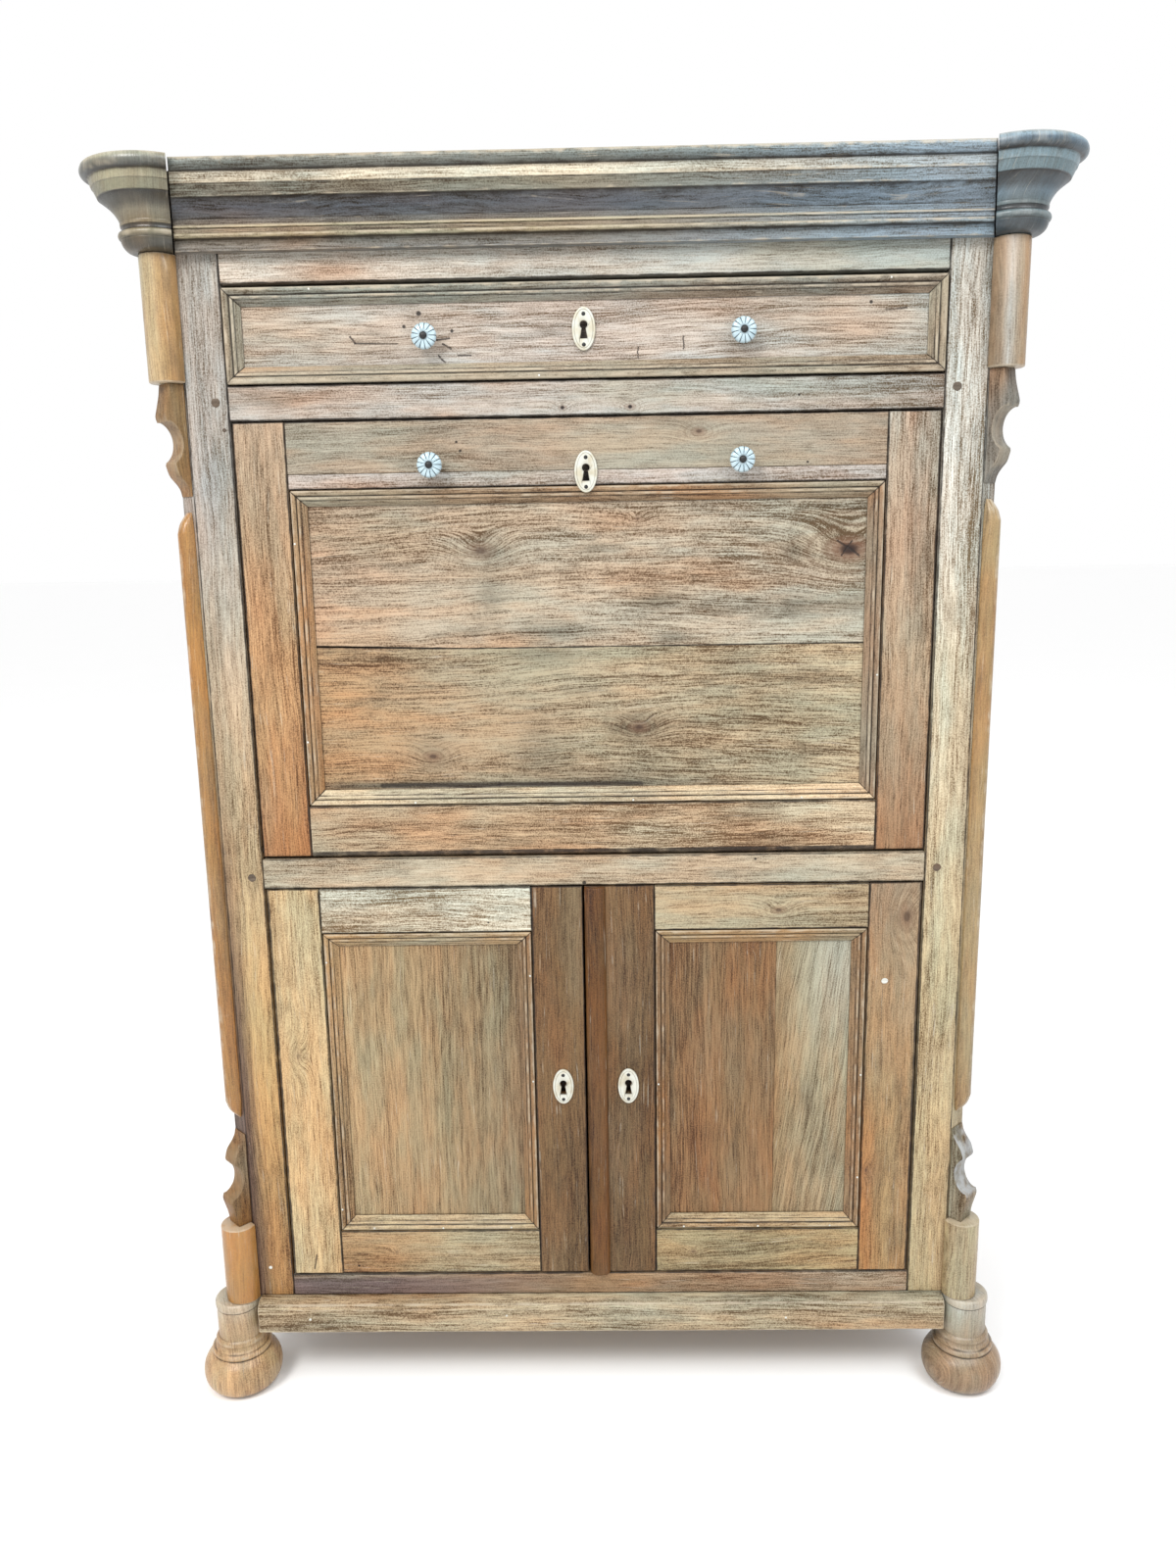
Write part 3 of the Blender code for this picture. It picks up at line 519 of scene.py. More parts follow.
def bar(name, corners, span, place, mat, body, nodes=(), slot="wood", step=0.025, end=0.0008, wob=0.00022,
        chip=0.0005, shape=None, stations=(), edge_wear=0.22, edge_dirt=0.85, dirt_of=None, points=None, angle=35.0, soft=0.0017):
    """A board or rod of one section swept from span[0] to span[1], with eased ends and a little hand-worked unevenness."""
    pts = points or outline(corners)
    nrm = inward(pts)
    most = room(pts, nrm)
    n = len(pts)
    t0, t1 = span
    rings = [(t0, end, 1.0), (t0 + 0.4 * end, 0.25 * end, 1.0), (t0 + end, 0.0, 1.0), (t0 + soft, 0.0, 0.0)]
    inner = [t0 + soft + (t1 - t0 - 2 * soft) * k / max(1, round((t1 - t0 - 2 * soft) / step))
             for k in range(1, max(1, round((t1 - t0 - 2 * soft) / step)))]
    inner = sorted(inner + list(stations))
    rings += [(t, 0.0, 0.0) for t in inner]
    rings += [(t1 - soft, 0.0, 0.0), (t1 - end, 0.0, 1.0), (t1 - 0.4 * end, 0.25 * end, 1.0), (t1, end, 1.0)]
    rings.sort()
    off = seed_of(name) * 7.0
    verts, wear, dirt = [], [], []
    for t, inset, rw in rings:
        for (p, q, w), m, lim in zip(pts, nrm, most):
            co = Vector(place(p, q, t))
            edge = max(w, rw)
            push = wob * (0.5 + 0.5 * noise.noise(co * 17.0 + Vector((off, 0, 0))))
            if edge > 0.5:
                push += chip * max(0.0, noise.noise(co * 75.0 + Vector((0, off, 0))) - 0.12)
            d = lim * math.tanh((inset + push) / lim)
            co = Vector(place(p + m.x * d, q + m.y * d, t))
            if shape:
                co = shape(co)
            verts.append(co)
            wear.append(edge * edge_wear)
            dirt.append(max(edge * edge_dirt, dirt_of(co) if dirt_of else 0.0))
    faces = [list(range(n)), list(range((len(rings) - 1) * n, len(rings) * n))]
    for k in range(len(rings) - 1):
        for i in range(n):
            j = (i + 1) % n
            faces.append([k * n + i, k * n + j, (k + 1) * n + j, (k + 1) * n + i])
    return make(name, verts, faces, mat, body, nodes, slot, wear, dirt, angle)


ALONG = {"x": lambda p, q, t: (t, p, q), "y": lambda p, q, t: (p, t, q), "z": lambda p, q, t: (p, q, t)}


def plank(name, lo, hi, axis, mat, body, nodes=(), r=0.0011, radii=None, marks=None, **kw):
    """A straight board between two corners; axis is the way it runs."""
    i, j = {"x": (1, 2), "y": (0, 2), "z": (0, 1)}[axis]
    k = "xyz".index(axis)
    rr = [r] * 4
    for c, v in (radii or {}).items():
        rr[c] = v
    mk = [1.0] * 4
    for c, v in (marks or {}).items():
        mk[c] = v
    corners = [(lo[i], lo[j], rr[0], mk[0]), (hi[i], lo[j], rr[1], mk[1]), (hi[i], hi[j], rr[2], mk[2]), (lo[i], hi[j], rr[3], mk[3])]
    return bar(name, corners, (lo[k], hi[k]), ALONG[axis], mat, body, nodes, **kw)


def plate(name, points, place, t0, t1, mat, body, nodes=(), slot="wood", bevel=0.0012, rim=0.0018, chip=0.0005,
          side_wear_and_highlight=1.0, angle=35.0, soil_and_shade=lambda p, q: 0.0):
    """A shaped board: an outline of (p, q, paleness) points, t0 to t1 thick, with eased edges; the paleness is partly
    wear, partly painted highlight.  soil_and_shade: darkening on the edge at (p, q), partly dirt, partly painted shade.
    """
    area = sum(a[0] * b[1] - b[0] * a[1] for a, b in zip(points, points[1:] + points[:1]))
    if area < 0:
        points = points[::-1]
    nrm = inward(points)
    most = room(points, nrm)
    n = len(points)
    off = seed_of(name) * 5.0
    s = 1 if t1 > t0 else -1
    loops = [(t0, rim, 0.0), (t0, bevel, 0.8), (t0 + s * 0.3 * bevel, 0.3 * bevel, 1.0), (t0 + s * bevel, 0.0, side_wear_and_highlight),
             (t1 - s * bevel, 0.0, side_wear_and_highlight), (t1 - s * 0.3 * bevel, 0.3 * bevel, 1.0), (t1, bevel, 0.8), (t1, rim, 0.0)]
    verts, wear = [], []
    for t, inset, rw in loops:
        for (p, q, w), m, lim in zip(points, nrm, most):
            co = Vector(place(p, q, t))
            d = inset + chip * max(0.0, noise.noise(co * 70.0 + Vector((off, 0, 0))) - 0.1)
            d = lim * math.tanh(d / lim)
            verts.append(place(p + m.x * d, q + m.y * d, t))
            wear.append(rw * w)
    faces = [list(range(n)), list(range((len(loops) - 1) * n, len(loops) * n))]
    for k in range(len(loops) - 1):
        for i in range(n):
            j = (i + 1) % n
            faces.append([k * n + i, k * n + j, (k + 1) * n + j, (k + 1) * n + i])
    dirt = [soil_and_shade(p, q) if inset < rim else 0.0 for _, inset, _ in loops for p, q, _ in points]
    return make(name, verts, faces, mat, body, nodes, slot, wear, dirt, angle)


def spline(points, sub=4):
    """Catmull-Rom curve through points of any size."""
    out = []
    last = len(points) - 1
    for i in range(last):
        p0, p1, p2, p3 = points[max(i - 1, 0)], points[i], points[i + 1], points[min(i + 2, last)]
        for k in range(sub):
            t = k / sub
            out.append(tuple(0.5 * (2 * b + (c - a) * t + (2 * a - 5 * b + 4 * c - d) * t * t
                                    + (3 * b - a - 3 * c + d) * t ** 3) for a, b, c, d in zip(p0, p1, p2, p3)))
    out.append(tuple(points[-1]))
    return out


def runs(*lists, sub=4):
    """Joins curved stretches of a profile, keeping the corner between one stretch and the next."""
    out = []
    for pts in lists:
        out += spline(pts, sub) if len(pts) > 2 else [tuple(p) for p in pts]
    return out


def length(name, profile, place, start, stop, mat, body, nodes=(), slot="wood", step=0.03, wob=0.00015, end_dirt_and_shade=0.8,
           angle=30.0):
    """A moulding: closed profile of (a, b, paleness, darkness), swept from start(a, b) to stop(a, b); paleness is
    partly wear, partly painted highlight, darkness partly dirt, partly painted shade.
    """
    n = len(profile)
    span = abs(stop(*profile[0][:2]) - start(*profile[0][:2]))
    k = max(2, round(span / step))
    fr = [0.0, 0.0015 / span, 0.004 / span] + [j / k for j in range(1, k)] + [1 - 0.004 / span, 1 - 0.0015 / span, 1.0]
    soil_and_shade = {0.0: end_dirt_and_shade, 1.0: end_dirt_and_shade, fr[1]: 0.25 * end_dirt_and_shade, fr[-2]: 0.25 * end_dirt_and_shade}
    off = seed_of(name) * 3.0
    nrm = inward(profile) if sum(a[0] * b[1] - b[0] * a[1] for a, b in zip(profile, profile[1:] + profile[:1])) > 0 else \
        [-m for m in inward(profile)]
    verts, wear, dirt = [], [], []
    for f in fr:
        for (a, b, w, d), m in zip(profile, nrm):
            t = start(a, b) + (stop(a, b) - start(a, b)) * f
            co = Vector(place(a, b, t))
            push = wob * (0.5 + 0.5 * noise.noise(co * 24.0 + Vector((off, 0, 0))))
            if w > 0.5:
                push += 0.0004 * max(0.0, noise.noise(co * 85.0 + Vector((0, off, 0))) - 0.1)
            verts.append(place(a + m.x * push, b + m.y * push, t))
            wear.append(w)
            dirt.append(max(d, soil_and_shade.get(f, 0.0)))
    faces = [list(range(n)), list(range((len(fr) - 1) * n, len(fr) * n))]
    for q in range(len(fr) - 1):
        for i in range(n):
            j = (i + 1) % n
            faces.append([q * n + i, q * n + j, (q + 1) * n + j, (q + 1) * n + i])
    return make(name, verts, faces, mat, body, nodes, slot, wear, dirt, angle)


def frame_moulding(name, x0, x1, z0, z1, profile, mats, body, node):
    """Four mitred lengths round a rectangle; profile is (inset, depth behind the front plane, paleness, darkness),
    paleness partly wear and painted highlight, darkness partly dirt and painted shade.
    """
    g = 0.00025
    mats = dict(zip(("bottom", "top", "left", "right"), mats))
    length(name + "_bottom", profile, lambda a, b, t: (t, F + b, z0 + a), lambda a, b: x0 + a + g, lambda a, b: x1 - a - g,
           mats["bottom"], body, (node,))
    length(name + "_top", profile, lambda a, b, t: (t, F + b, z1 - a), lambda a, b: x0 + a + g, lambda a, b: x1 - a - g,
           mats["top"], body, (node,))
    length(name + "_left", profile, lambda a, b, t: (x0 + a, F + b, t), lambda a, b: z0 + a + g, lambda a, b: z1 - a - g,
           mats["left"], body, (node,))
    length(name + "_right", profile, lambda a, b, t: (x1 - a, F + b, t), lambda a, b: z0 + a + g, lambda a, b: z1 - a - g,
           mats["right"], body, (node,))


def turned(name, profile, segs, place, mat, body, nodes=(), slot="wood", alter=None, angle=30.0):
    """Turned piece; profile is (radius, height[, paleness, darkness]) from pole to pole: paleness partly wear, partly
    painted highlight; darkness partly dirt, partly painted shade.
    """
    verts, faces, wear, dirt, rows = [], [], [], [], []
    for pt in profile:
        r, h = pt[0], pt[1]
        w, d = (pt[2], pt[3]) if len(pt) > 3 else (0.0, 0.0)
        if r < 1e-6:
            rows.append([len(verts)])
            verts.append(place(0.0, 0.0, h))
            wear.append(w)
            dirt.append(d)
            continue
        rows.append(list(range(len(verts), len(verts) + segs)))
        for k in range(segs):
            a = 2 * math.pi * k / segs
            rr, hh, ww, dd = alter(a, r, h, w, d) if alter else (r, h, w, d)
            verts.append(place(rr * math.cos(a), rr * math.sin(a), hh))
            wear.append(ww)
            dirt.append(dd)
    for a, b in zip(rows, rows[1:]):
        for k in range(segs):
            j = (k + 1) % segs
            if len(a) == 1:
                faces.append([a[0], b[j], b[k]])
            elif len(b) == 1:
                faces.append([a[k], a[j], b[0]])
            else:
                faces.append([a[k], a[j], b[j], b[k]])
    return make(name, verts, faces, mat, body, nodes, slot, wear, dirt, angle)


# ---------------------------------------------------------------- materials
def left_stain(g, p, patch, fibre):
    """Old dark stain that ran down the outer edge of the left post."""
    across = g.smooth(g.madd(g.sub(fibre, 0.5), 0.016, p[0]), -0.419, -0.446)
    down = g.smooth(g.madd(g.sub(patch, 0.5), 0.35, p[2]), 0.98, 0.42)
    return g.mul(g.mul(across, down), 0.86), (84, 62, 60)


def right_stain(g, p, patch, fibre):
    across = g.smooth(g.madd(g.sub(fibre, 0.5), 0.016, p[0]), 0.430, 0.448)
    return g.mul(across, 0.25), (112, 92, 74)


def rail_stain(g, p, patch, fibre):
    """Dark run along the left half of the bottom rail."""
    left = g.smooth(g.madd(g.sub(patch, 0.5), 0.35, p[0]), 0.05, -0.30)
    low = g.smooth(g.madd(g.sub(fibre, 0.5), 0.012, p[2]), 0.1575, 0.147)
    return g.mul(g.mul(left, low), 0.8), (112, 94, 94)


def cornice_blue_sheen(g, p, patch, fibre):
    """Painted grey-blue sheen, a reflection that grows towards the right end of the cornice."""
    return g.mul(g.smooth(g.madd(g.sub(patch, 0.5), 0.5, p[0]), -0.05, 0.46), 0.66), (154, 176, 190)


def side_blue_sheen(g, p, patch, fibre):
    """The same painted grey-blue sheen, carried round to the front part of the right side."""
    near = g.smooth(g.madd(g.sub(patch, 0.5), 0.25, p[1]), 0.16, -0.18)
    return g.mul(g.mul(g.smooth(p[0], 0.30, 0.45), near), 0.55), (150, 168, 180)


def door_sheen(g, p, patch, fibre):
    """Pale, silvered upper corner of the right door's second board."""
    across = g.smooth(g.madd(g.sub(patch, 0.5), 0.10, p[0]), 0.236, 0.300)
    up = g.smooth(g.madd(g.sub(patch, 0.5), 0.20, p[2]), 0.42, 0.58)
    return g.mul(g.mul(across, up), 0.42), (194, 198, 186)


# Colour by height over the cornice bands: partly their own tone, partly painted light, with shade in the dark cove and
# under the beads and highlight on the pale bands.
CORNICE_Z = [(1.4014, (138, 135, 131)), (1.4118, (130, 125, 115)), (1.4132, (170, 158, 132)), (1.4178, (176, 163, 136)),
             (1.4190, (140, 124, 102)), (1.4228, (140, 124, 102)), (1.4236, (186, 173, 144)), (1.4262, (186, 173, 144)),
             (1.4272, (124, 115, 106)), (1.4318, (118, 113, 108)), (1.4340, (108, 107, 110)), (1.4420, (106, 107, 114)), (1.4490, (97, 94, 94)),
             (1.4504, (132, 125, 110)), (1.4612, (138, 131, 114)), (1.4625, (234, 223, 200)), (1.4732, (226, 216, 196)),
             (1.4742, (112, 113, 107)), (1.4800, (118, 120, 114)), (1.4830, (146, 148, 140)), (1.4878, (150, 152, 145))]
# Colour by height over the turned corner blocks, over their own olive tone: painted shade in the dark lines under the
# torus and beads and in the upper cove, painted highlight on the pale band and bead tops.
CORNER_Z = [(1.4014, (72, 68, 58)), (1.4115, (78, 74, 64)), (1.4142, (110, 103, 84)), (1.4200, (134, 126, 103)),
            (1.4222, (58, 54, 46)), (1.4262, (60, 56, 48)), (1.4276, (130, 118, 95)), (1.4310, (126, 116, 95)),
            (1.4390, (140, 132, 113)), (1.4450, (94, 89, 77)), (1.4538, (62, 59, 52)), (1.4552, (148, 141, 117)),
            (1.4638, (152, 144, 119)), (1.4652, (178, 168, 140)), (1.4722, (178, 168, 140)), (1.4735, (68, 65, 57)),
            (1.4760, (100, 96, 84)), (1.4805, (128, 124, 110)), (1.4835, (170, 165, 142)), (1.4878, (176, 171, 149))]
# The right block's copy, bluer: a painted grey-blue reflection.
CORNER_BLUE_Z = [(z, (0.84 * r, 1.03 * gr, 1.30 * b)) for z, (r, gr, b) in CORNER_Z[:-1]] + [(1.4876, (164, 168, 164))]

M = {}
# Colour up the posts: the grey and pale blue-white upper parts are partly painted sheen, a reflection, over the wood's
# own tone.
M["stile_left"] = wood("post_left_wood", "z", [(0.13, (182, 139, 95)), (0.50, (206, 170, 122)), (0.85, (203, 180, 150)),
                                              (1.15, (182, 175, 169)), (1.46, (182, 175, 166))], "z", 1.0, ring=70,
                       cool_amt=0.2, warm_amt=0.2, stain=left_stain)
M["stile_right"] = wood("post_right_wood", "z", [(0.13, (206, 184, 147)), (0.55, (218, 197, 159)), (0.94, (228, 215, 190)),
                                               (1.16, (234, 230, 221)), (1.46, (204, 203, 196))], "z", 2.0, ring=70,
                        cool_amt=0.25, warm_amt=0.15, stain=right_stain, scratch=0.5)
# The frieze's pale grey-blue tone, greyer to the right, is partly painted sheen.
M["frieze"] = wood("frieze_wood", "x", [(-0.40, (218, 205, 191)), (0.40, (175, 174, 167))], "x", 3.0, figure=0.015, mottle=1.3)
M["drawer_rail"] = wood("drawer_rail_wood", "x", (191, 181, 172), None, 4.0, figure=0.012, hue=0.9,
                        knots=[(-0.025, 1.234, 0.0045, 0.6), (0.0505, 1.2336, 0.0050, 0.6)],
                        holes=[(-0.025, 1.234, 0.0022), (0.0505, 1.2336, 0.0022), (0.238, 1.243, 0.0014)])
M["middle_rail"] = wood("middle_rail_wood", "x", (198, 180, 156), None, 5.0, figure=0.016, scratch=0.5, contrast=1.15, mottle=1.35,
                        holes=[(-0.010, 0.6835, 0.0025), (0.196, 0.7108, 0.0016)])
M["bottom_rail"] = wood("bottom_rail_wood", "x", [(-0.40, (164, 142, 124)), (0.0, (164, 136, 108)), (0.40, (214, 206, 188))],
                        "x", 6.0, figure=0.01, mottle=1.5, stain=rail_stain)
M["plinth"] = wood("plinth_wood", "x", (204, 184, 154), None, 7.0, figure=0.02, scratch=0.5, contrast=1.15, mottle=1.35)
M["cornice"] = wood("cornice_wood", "x", CORNICE_Z, "z", 8.0, figure=0.006, ring=120, cool=(130, 132, 128), cool_amt=0.3,
                    warm=(168, 128, 88), warm_amt=0.35, scratch=0.45, dirt_and_shade_amt=0.8, stain=cornice_blue_sheen)
M["cornice_y"] = wood("cornice_side_wood", "y", CORNICE_Z, "z", 8.5, figure=0.006, ring=120, cool=(140, 148, 152), cool_amt=0.45,
                      warm=(168, 132, 96), warm_amt=0.3, scratch=0.45, dirt_and_shade_amt=0.7, stain=side_blue_sheen)
M["corner_left"] = wood("corner_left_wood", "z", CORNER_Z, "z", 9.0, ring=70, contrast=0.45, hue=0.5, rough=0.34, spec=0.5, cool=(128, 134, 136), cool_amt=0.3,
                        warm=(170, 138, 104), warm_amt=0.3, dirt_and_shade_amt=0.9, wear_and_highlight_amt=0.45)
M["corner_right"] = wood("corner_right_wood", "z", CORNER_BLUE_Z, "z", 9.6, ring=70, contrast=0.45, rough=0.34, spec=0.5, cool=(128, 150, 166), cool_amt=0.3, warm=(150, 140, 128),
                         warm_amt=0.15, hue=0.4, dirt_and_shade_amt=0.9, wear=(206, 208, 202), wear_and_highlight_amt=0.45)
# Colour across the upper columns: the pale stripe (x -0.478 to -0.468 on the left, x 0.460 on the right) is a painted
# highlight.
M["ucol_left"] = wood("upper_column_left_wood", "z", [(-0.486, (178, 164, 136)), (-0.478, (206, 190, 156)), (-0.468, (206, 184, 146)),
                                                       (-0.457, (200, 166, 120)), (-0.444, (184, 146, 102))], "x", 10.0, ring=60, contrast=0.55,
                      rough=0.30, spec=0.5, cool_amt=0.3, warm_amt=0.3)
M["ucol_right"] = wood("upper_column_right_wood", "z", [(0.444, (164, 138, 112)), (0.453, (178, 154, 130)), (0.460, (204, 195, 186)),
                                                        (0.468, (184, 165, 144)), (0.477, (180, 147, 114)), (0.486, (170, 136, 104))], "x", 10.5,
                       ring=60, cool_amt=0.15, warm=(190, 152, 118), contrast=0.55, rough=0.30, spec=0.5)
M["lcol_left"] = wood("lower_column_left_wood", "z", (184, 130, 73), None, 11.0, ring=60, contrast=0.6, rough=0.32, spec=0.5, cool_amt=0.1)
M["lcol_right"] = wood("lower_column_right_wood", "z", (212, 191, 153), None, 11.5, ring=60, contrast=0.6, rough=0.32, spec=0.5)
M["rod_left"] = wood("rod_left_wood", "z", (184, 136, 84), None, 12.0, ring=60, contrast=0.6, rough=0.32, spec=0.5, cool_amt=0.2)
M["rod_right"] = wood("rod_right_wood", "z", (182, 154, 114), None, 12.5, ring=60, contrast=0.6, rough=0.32, spec=0.5, cool_amt=0.2)
M["ubr_left"] = wood("upper_bracket_left_wood", "z", (138, 108, 74), None, 13.0, wear_and_highlight_amt=0.25)
M["ubr_right"] = wood("upper_bracket_right_wood", "z", (137, 130, 121), None, 13.5, wear_and_highlight_amt=0.3)
# The lower brackets' pale scroll faces, grey-white on the right one, are partly rubbed wear, partly painted highlight.
M["lbr_left"] = wood("lower_bracket_left_wood", "z", (140, 100, 58), None, 14.0, wear=(178, 150, 116), wear_and_highlight_amt=0.5)
M["lbr_right"] = wood("lower_bracket_right_wood", "z", (164, 152, 130), None, 14.5, wear=(214, 214, 210), wear_and_highlight_amt=0.8)
M["foot_left"] = wood("foot_left_wood", "z", [(0.0, (218, 178, 132)), (0.055, (224, 188, 146)), (0.075, (206, 174, 136)),
                                             (0.10, (208, 180, 145)), (0.128, (222, 208, 186))], "z", 15.0, ring=110, contrast=0.65, rough=0.34, spec=0.5,
                      cool_amt=0.2, warm_amt=0.3)
M["foot_right"] = wood("foot_right_wood", "z", [(0.0, (166, 135, 105)), (0.055, (174, 149, 122)), (0.075, (172, 152, 128)),
                                               (0.10, (188, 182, 164)), (0.128, (204, 202, 192))], "z", 15.5, ring=110, contrast=0.65, rough=0.34, spec=0.5,
                       cool_amt=0.3, warm_amt=0.3)
M["side"] = wood("side_wood", "zy", [(0.0, (176, 140, 102)), (0.7, (186, 156, 120)), (1.46, (178, 164, 146))], "z", 16.0,
                 figure=0.03, ring=55, cool_amt=0.3, warm_amt=0.4)
M["top"] = wood("top_wood", "xy", (172, 160, 142), None, 17.0, figure=0.03, ring=60, cool_amt=0.5)
M["back"] = wood("back_wood", "z", (174, 142, 104), None, 18.0, figure=0.04, ring=45, cool=(150, 140, 122), rough=0.72, spec=0.2,
                 scratch=0.2, wear_and_highlight_amt=0.3)
M["inside_x"] = wood("inside_wood", "xy", (190, 158, 118), None, 19.0, figure=0.03, ring=55, rough=0.6, cool_amt=0.15)
M["inside_z"] = wood("inside_upright_wood", "zy", (188, 154, 114), None, 19.5, figure=0.02, ring=55, rough=0.6, cool_amt=0.15)
M["inside_face"] = wood("inside_front_wood", "x", (196, 160, 116), None, 20.0, figure=0.02, ring=60, rough=0.5, cool_amt=0.1)
M["tray_y"] = wood("tray_side_wood", "y", (186, 156, 116), None, 20.5, figure=0.02, ring=55, rough=0.65)

DRAWER_CRACKS = [(-0.259, 1.316, -0.2544, 1.3086, 0.0016), (-0.2544, 1.3086, -0.2075, 1.3066, 0.0013),
                 (-0.167, 1.3105, -0.1627, 1.3089, 0.0018), (-0.1627, 1.3089, -0.149, 1.310, 0.0016),
                 (-0.156, 1.304, -0.148, 1.2988, 0.0016), (-0.162, 1.292, -0.155, 1.2847, 0.0014),
                 (-0.1405, 1.2914, -0.126, 1.2907, 0.0012), (0.333, 1.332, 0.355, 1.333, 0.0012),
                 (0.060, 1.2965, 0.060, 1.286, 0.0011), (0.110, 1.306, 0.1105, 1.2935, 0.0011)]
# Drawer front: the pale grey patches (cool) are partly painted blue-white sheen.
M["drawer"] = wood("drawer_front_wood", "x", [(-0.38, (191, 173, 154)), (0.0, (202, 190, 181)), (0.38, (193, 188, 178))], "x", 21.0,
                   figure=0.018, cool=(196, 196, 194), cool_amt=0.5, warm=(196, 152, 116), warm_amt=0.4, contrast=1.1, hue=0.9,
                   holes=[(-0.182, 1.337, 0.0028), (-0.199, 1.3235, 0.002), (-0.146, 1.318, 0.002), (0.316, 1.3396, 0.002)],
                   cracks=DRAWER_CRACKS)
# The top length of the drawer moulding is darker than the bottom one: painted shade on the top, painted light on the
# bottom.
M["drawer_mould_top"] = wood("drawer_moulding_top_wood", "x", (152, 146, 134), None, 22.2, figure=0.004, ring=120, cool_amt=0.25, warm_amt=0.2,
                             scratch=0.4)
M["drawer_mould_x"] = wood("drawer_moulding_wood", "x", (174, 159, 139), None, 22.0, figure=0.004, ring=120, cool_amt=0.25,
                           scratch=0.4)
M["drawer_mould_z"] = wood("drawer_moulding_upright_wood", "z", (164, 149, 129), None, 22.5, figure=0.004, ring=120, cool_amt=0.25, warm_amt=0.2,
                           scratch=0.4)

M["fall_left"] = wood("fall_stile_left_wood", "z", [(0.72, (186, 134, 92)), (0.95, (204, 165, 125)), (1.22, (186, 157, 132))], "z", 23.0,
                      figure=0.02, streak=0.7, cool_amt=0.2, warm=(192, 126, 82), warm_amt=0.4)
M["fall_right"] = wood("fall_stile_right_wood", "z", [(0.72, (164, 126, 96)), (0.95, (190, 166, 140)), (1.22, (198, 184, 168))], "z", 24.0,
                       figure=0.02, streak=0.7, hue=1.0, cool_amt=0.3, warm=(186, 124, 82), warm_amt=0.4)
M["fall_top"] = wood("fall_top_rail_wood", "x", (173, 154, 135), None, 25.0, figure=0.02, hue=1.0, mottle=1.3, warm=(186, 140, 102), warm_amt=0.45,
                     cool_amt=0.35, knots=[(0.127, 1.206, 0.007, 0.6)],
                     holes=[(-0.141, 1.1895, 0.0016), (-0.145, 1.1992, 0.0015), (0.249, 1.1708, 0.0014)])
M["fall_strip"] = wood("fall_strip_wood", "x", (198, 185, 176), None, 26.0, figure=0.006)
M["fall_bottom"] = wood("fall_bottom_rail_wood", "x", [(-0.34, (190, 168, 141)), (0.34, (220, 200, 171))], "x", 27.0, figure=0.022, contrast=1.35,
                        mottle=1.15, warm=(192, 138, 94), warm_amt=0.45,
                        cool_amt=0.3)
M["fall_panel_hi"] = wood("fall_panel_upper_wood", "x", [(-0.34, (192, 162, 137)), (-0.12, (191, 173, 152)), (0.34, (197, 184, 166))], "x", 28.0,
                          figure=0.03, ring=70, contrast=1.3, grime=0.45, mottle=1.15, hue=0.9, warm=(196, 146, 104), warm_amt=0.4, cool=(166, 160, 140), cool_amt=0.5,
                          knots=[(-0.123, 1.079, 0.013, 0.5), (0.300, 1.074, 0.021, 1.0), (0.058, 1.112, 0.005, 0.35)],
                          smudges=[(-0.112, 1.079, 0.022, 0.012, 0.50), (-0.039, 0.985, 0.045, 0.013, 0.60), (0.080, 1.019, 0.028, 0.014, 0.58),
                                   (0.242, 1.016, 0.032, 0.014, 0.50), (0.014, 1.080, 0.026, 0.007, 0.50), (0.100, 0.976, 0.022, 0.008, 0.60),
                                   (-0.115, 1.030, 0.016, 0.034, 0.35), (0.235, 1.072, 0.014, 0.012, 0.50)],
                          cracks=[(0.286, 1.083, 0.312, 1.066, 0.0016), (0.292, 1.066, 0.303, 1.082, 0.0014)])
M["fall_panel_lo"] = wood("fall_panel_lower_wood", "x", [(-0.34, (182, 147, 112)), (-0.16, (178, 157, 131)), (0.08, (189, 169, 142)), (0.34, (198, 179, 150))],
                          "x", 29.0, figure=0.03, ring=70, contrast=1.4, grime=0.45, mottle=1.2, hue=0.9, warm=(198, 142, 94), warm_amt=0.35, cool=(162, 154, 130), cool_amt=0.5,
                          knots=[(-0.188, 0.839, 0.010, 0.6), (0.058, 0.871, 0.010, 0.65)],
                          smudges=[(-0.188, 0.842, 0.028, 0.020, 0.45), (0.058, 0.873, 0.032, 0.017, 0.52), (-0.06, 0.850, 0.034, 0.045, 0.40),
                                   (-0.050, 0.960, 0.040, 0.010, 0.50), (0.175, 0.948, 0.030, 0.010, 0.30), (0.030, 0.812, 0.080, 0.012, 0.45),
                                   (-0.230, 0.8045, 0.110, 0.0050, 0.85), (-0.020, 0.8040, 0.170, 0.0045, 0.80)],
                          cracks=[(-0.250, 0.8036, -0.110, 0.8040, 0.0040), (-0.110, 0.8036, 0.060, 0.8034, 0.0032)])
# The bottom length of the fall moulding is paler and the top length darker: painted light on the upward-facing bottom,
# painted shade on the top.
M["fall_mould_bottom"] = wood("fall_moulding_bottom_wood", "x", (235, 207, 172), None, 30.0, figure=0.004, ring=120, scratch=0.5)
M["fall_mould_top"] = wood("fall_moulding_top_wood", "x", (168, 144, 118), None, 30.3, figure=0.004, ring=120, scratch=0.4)
M["fall_mould_left"] = wood("fall_moulding_left_wood", "z", (178, 142, 108), None, 30.6, figure=0.004, ring=120, cool_amt=0.15)
M["fall_mould_right"] = wood("fall_moulding_right_wood", "z", (158, 132, 109), None, 30.9, figure=0.004, ring=120, cool_amt=0.25)

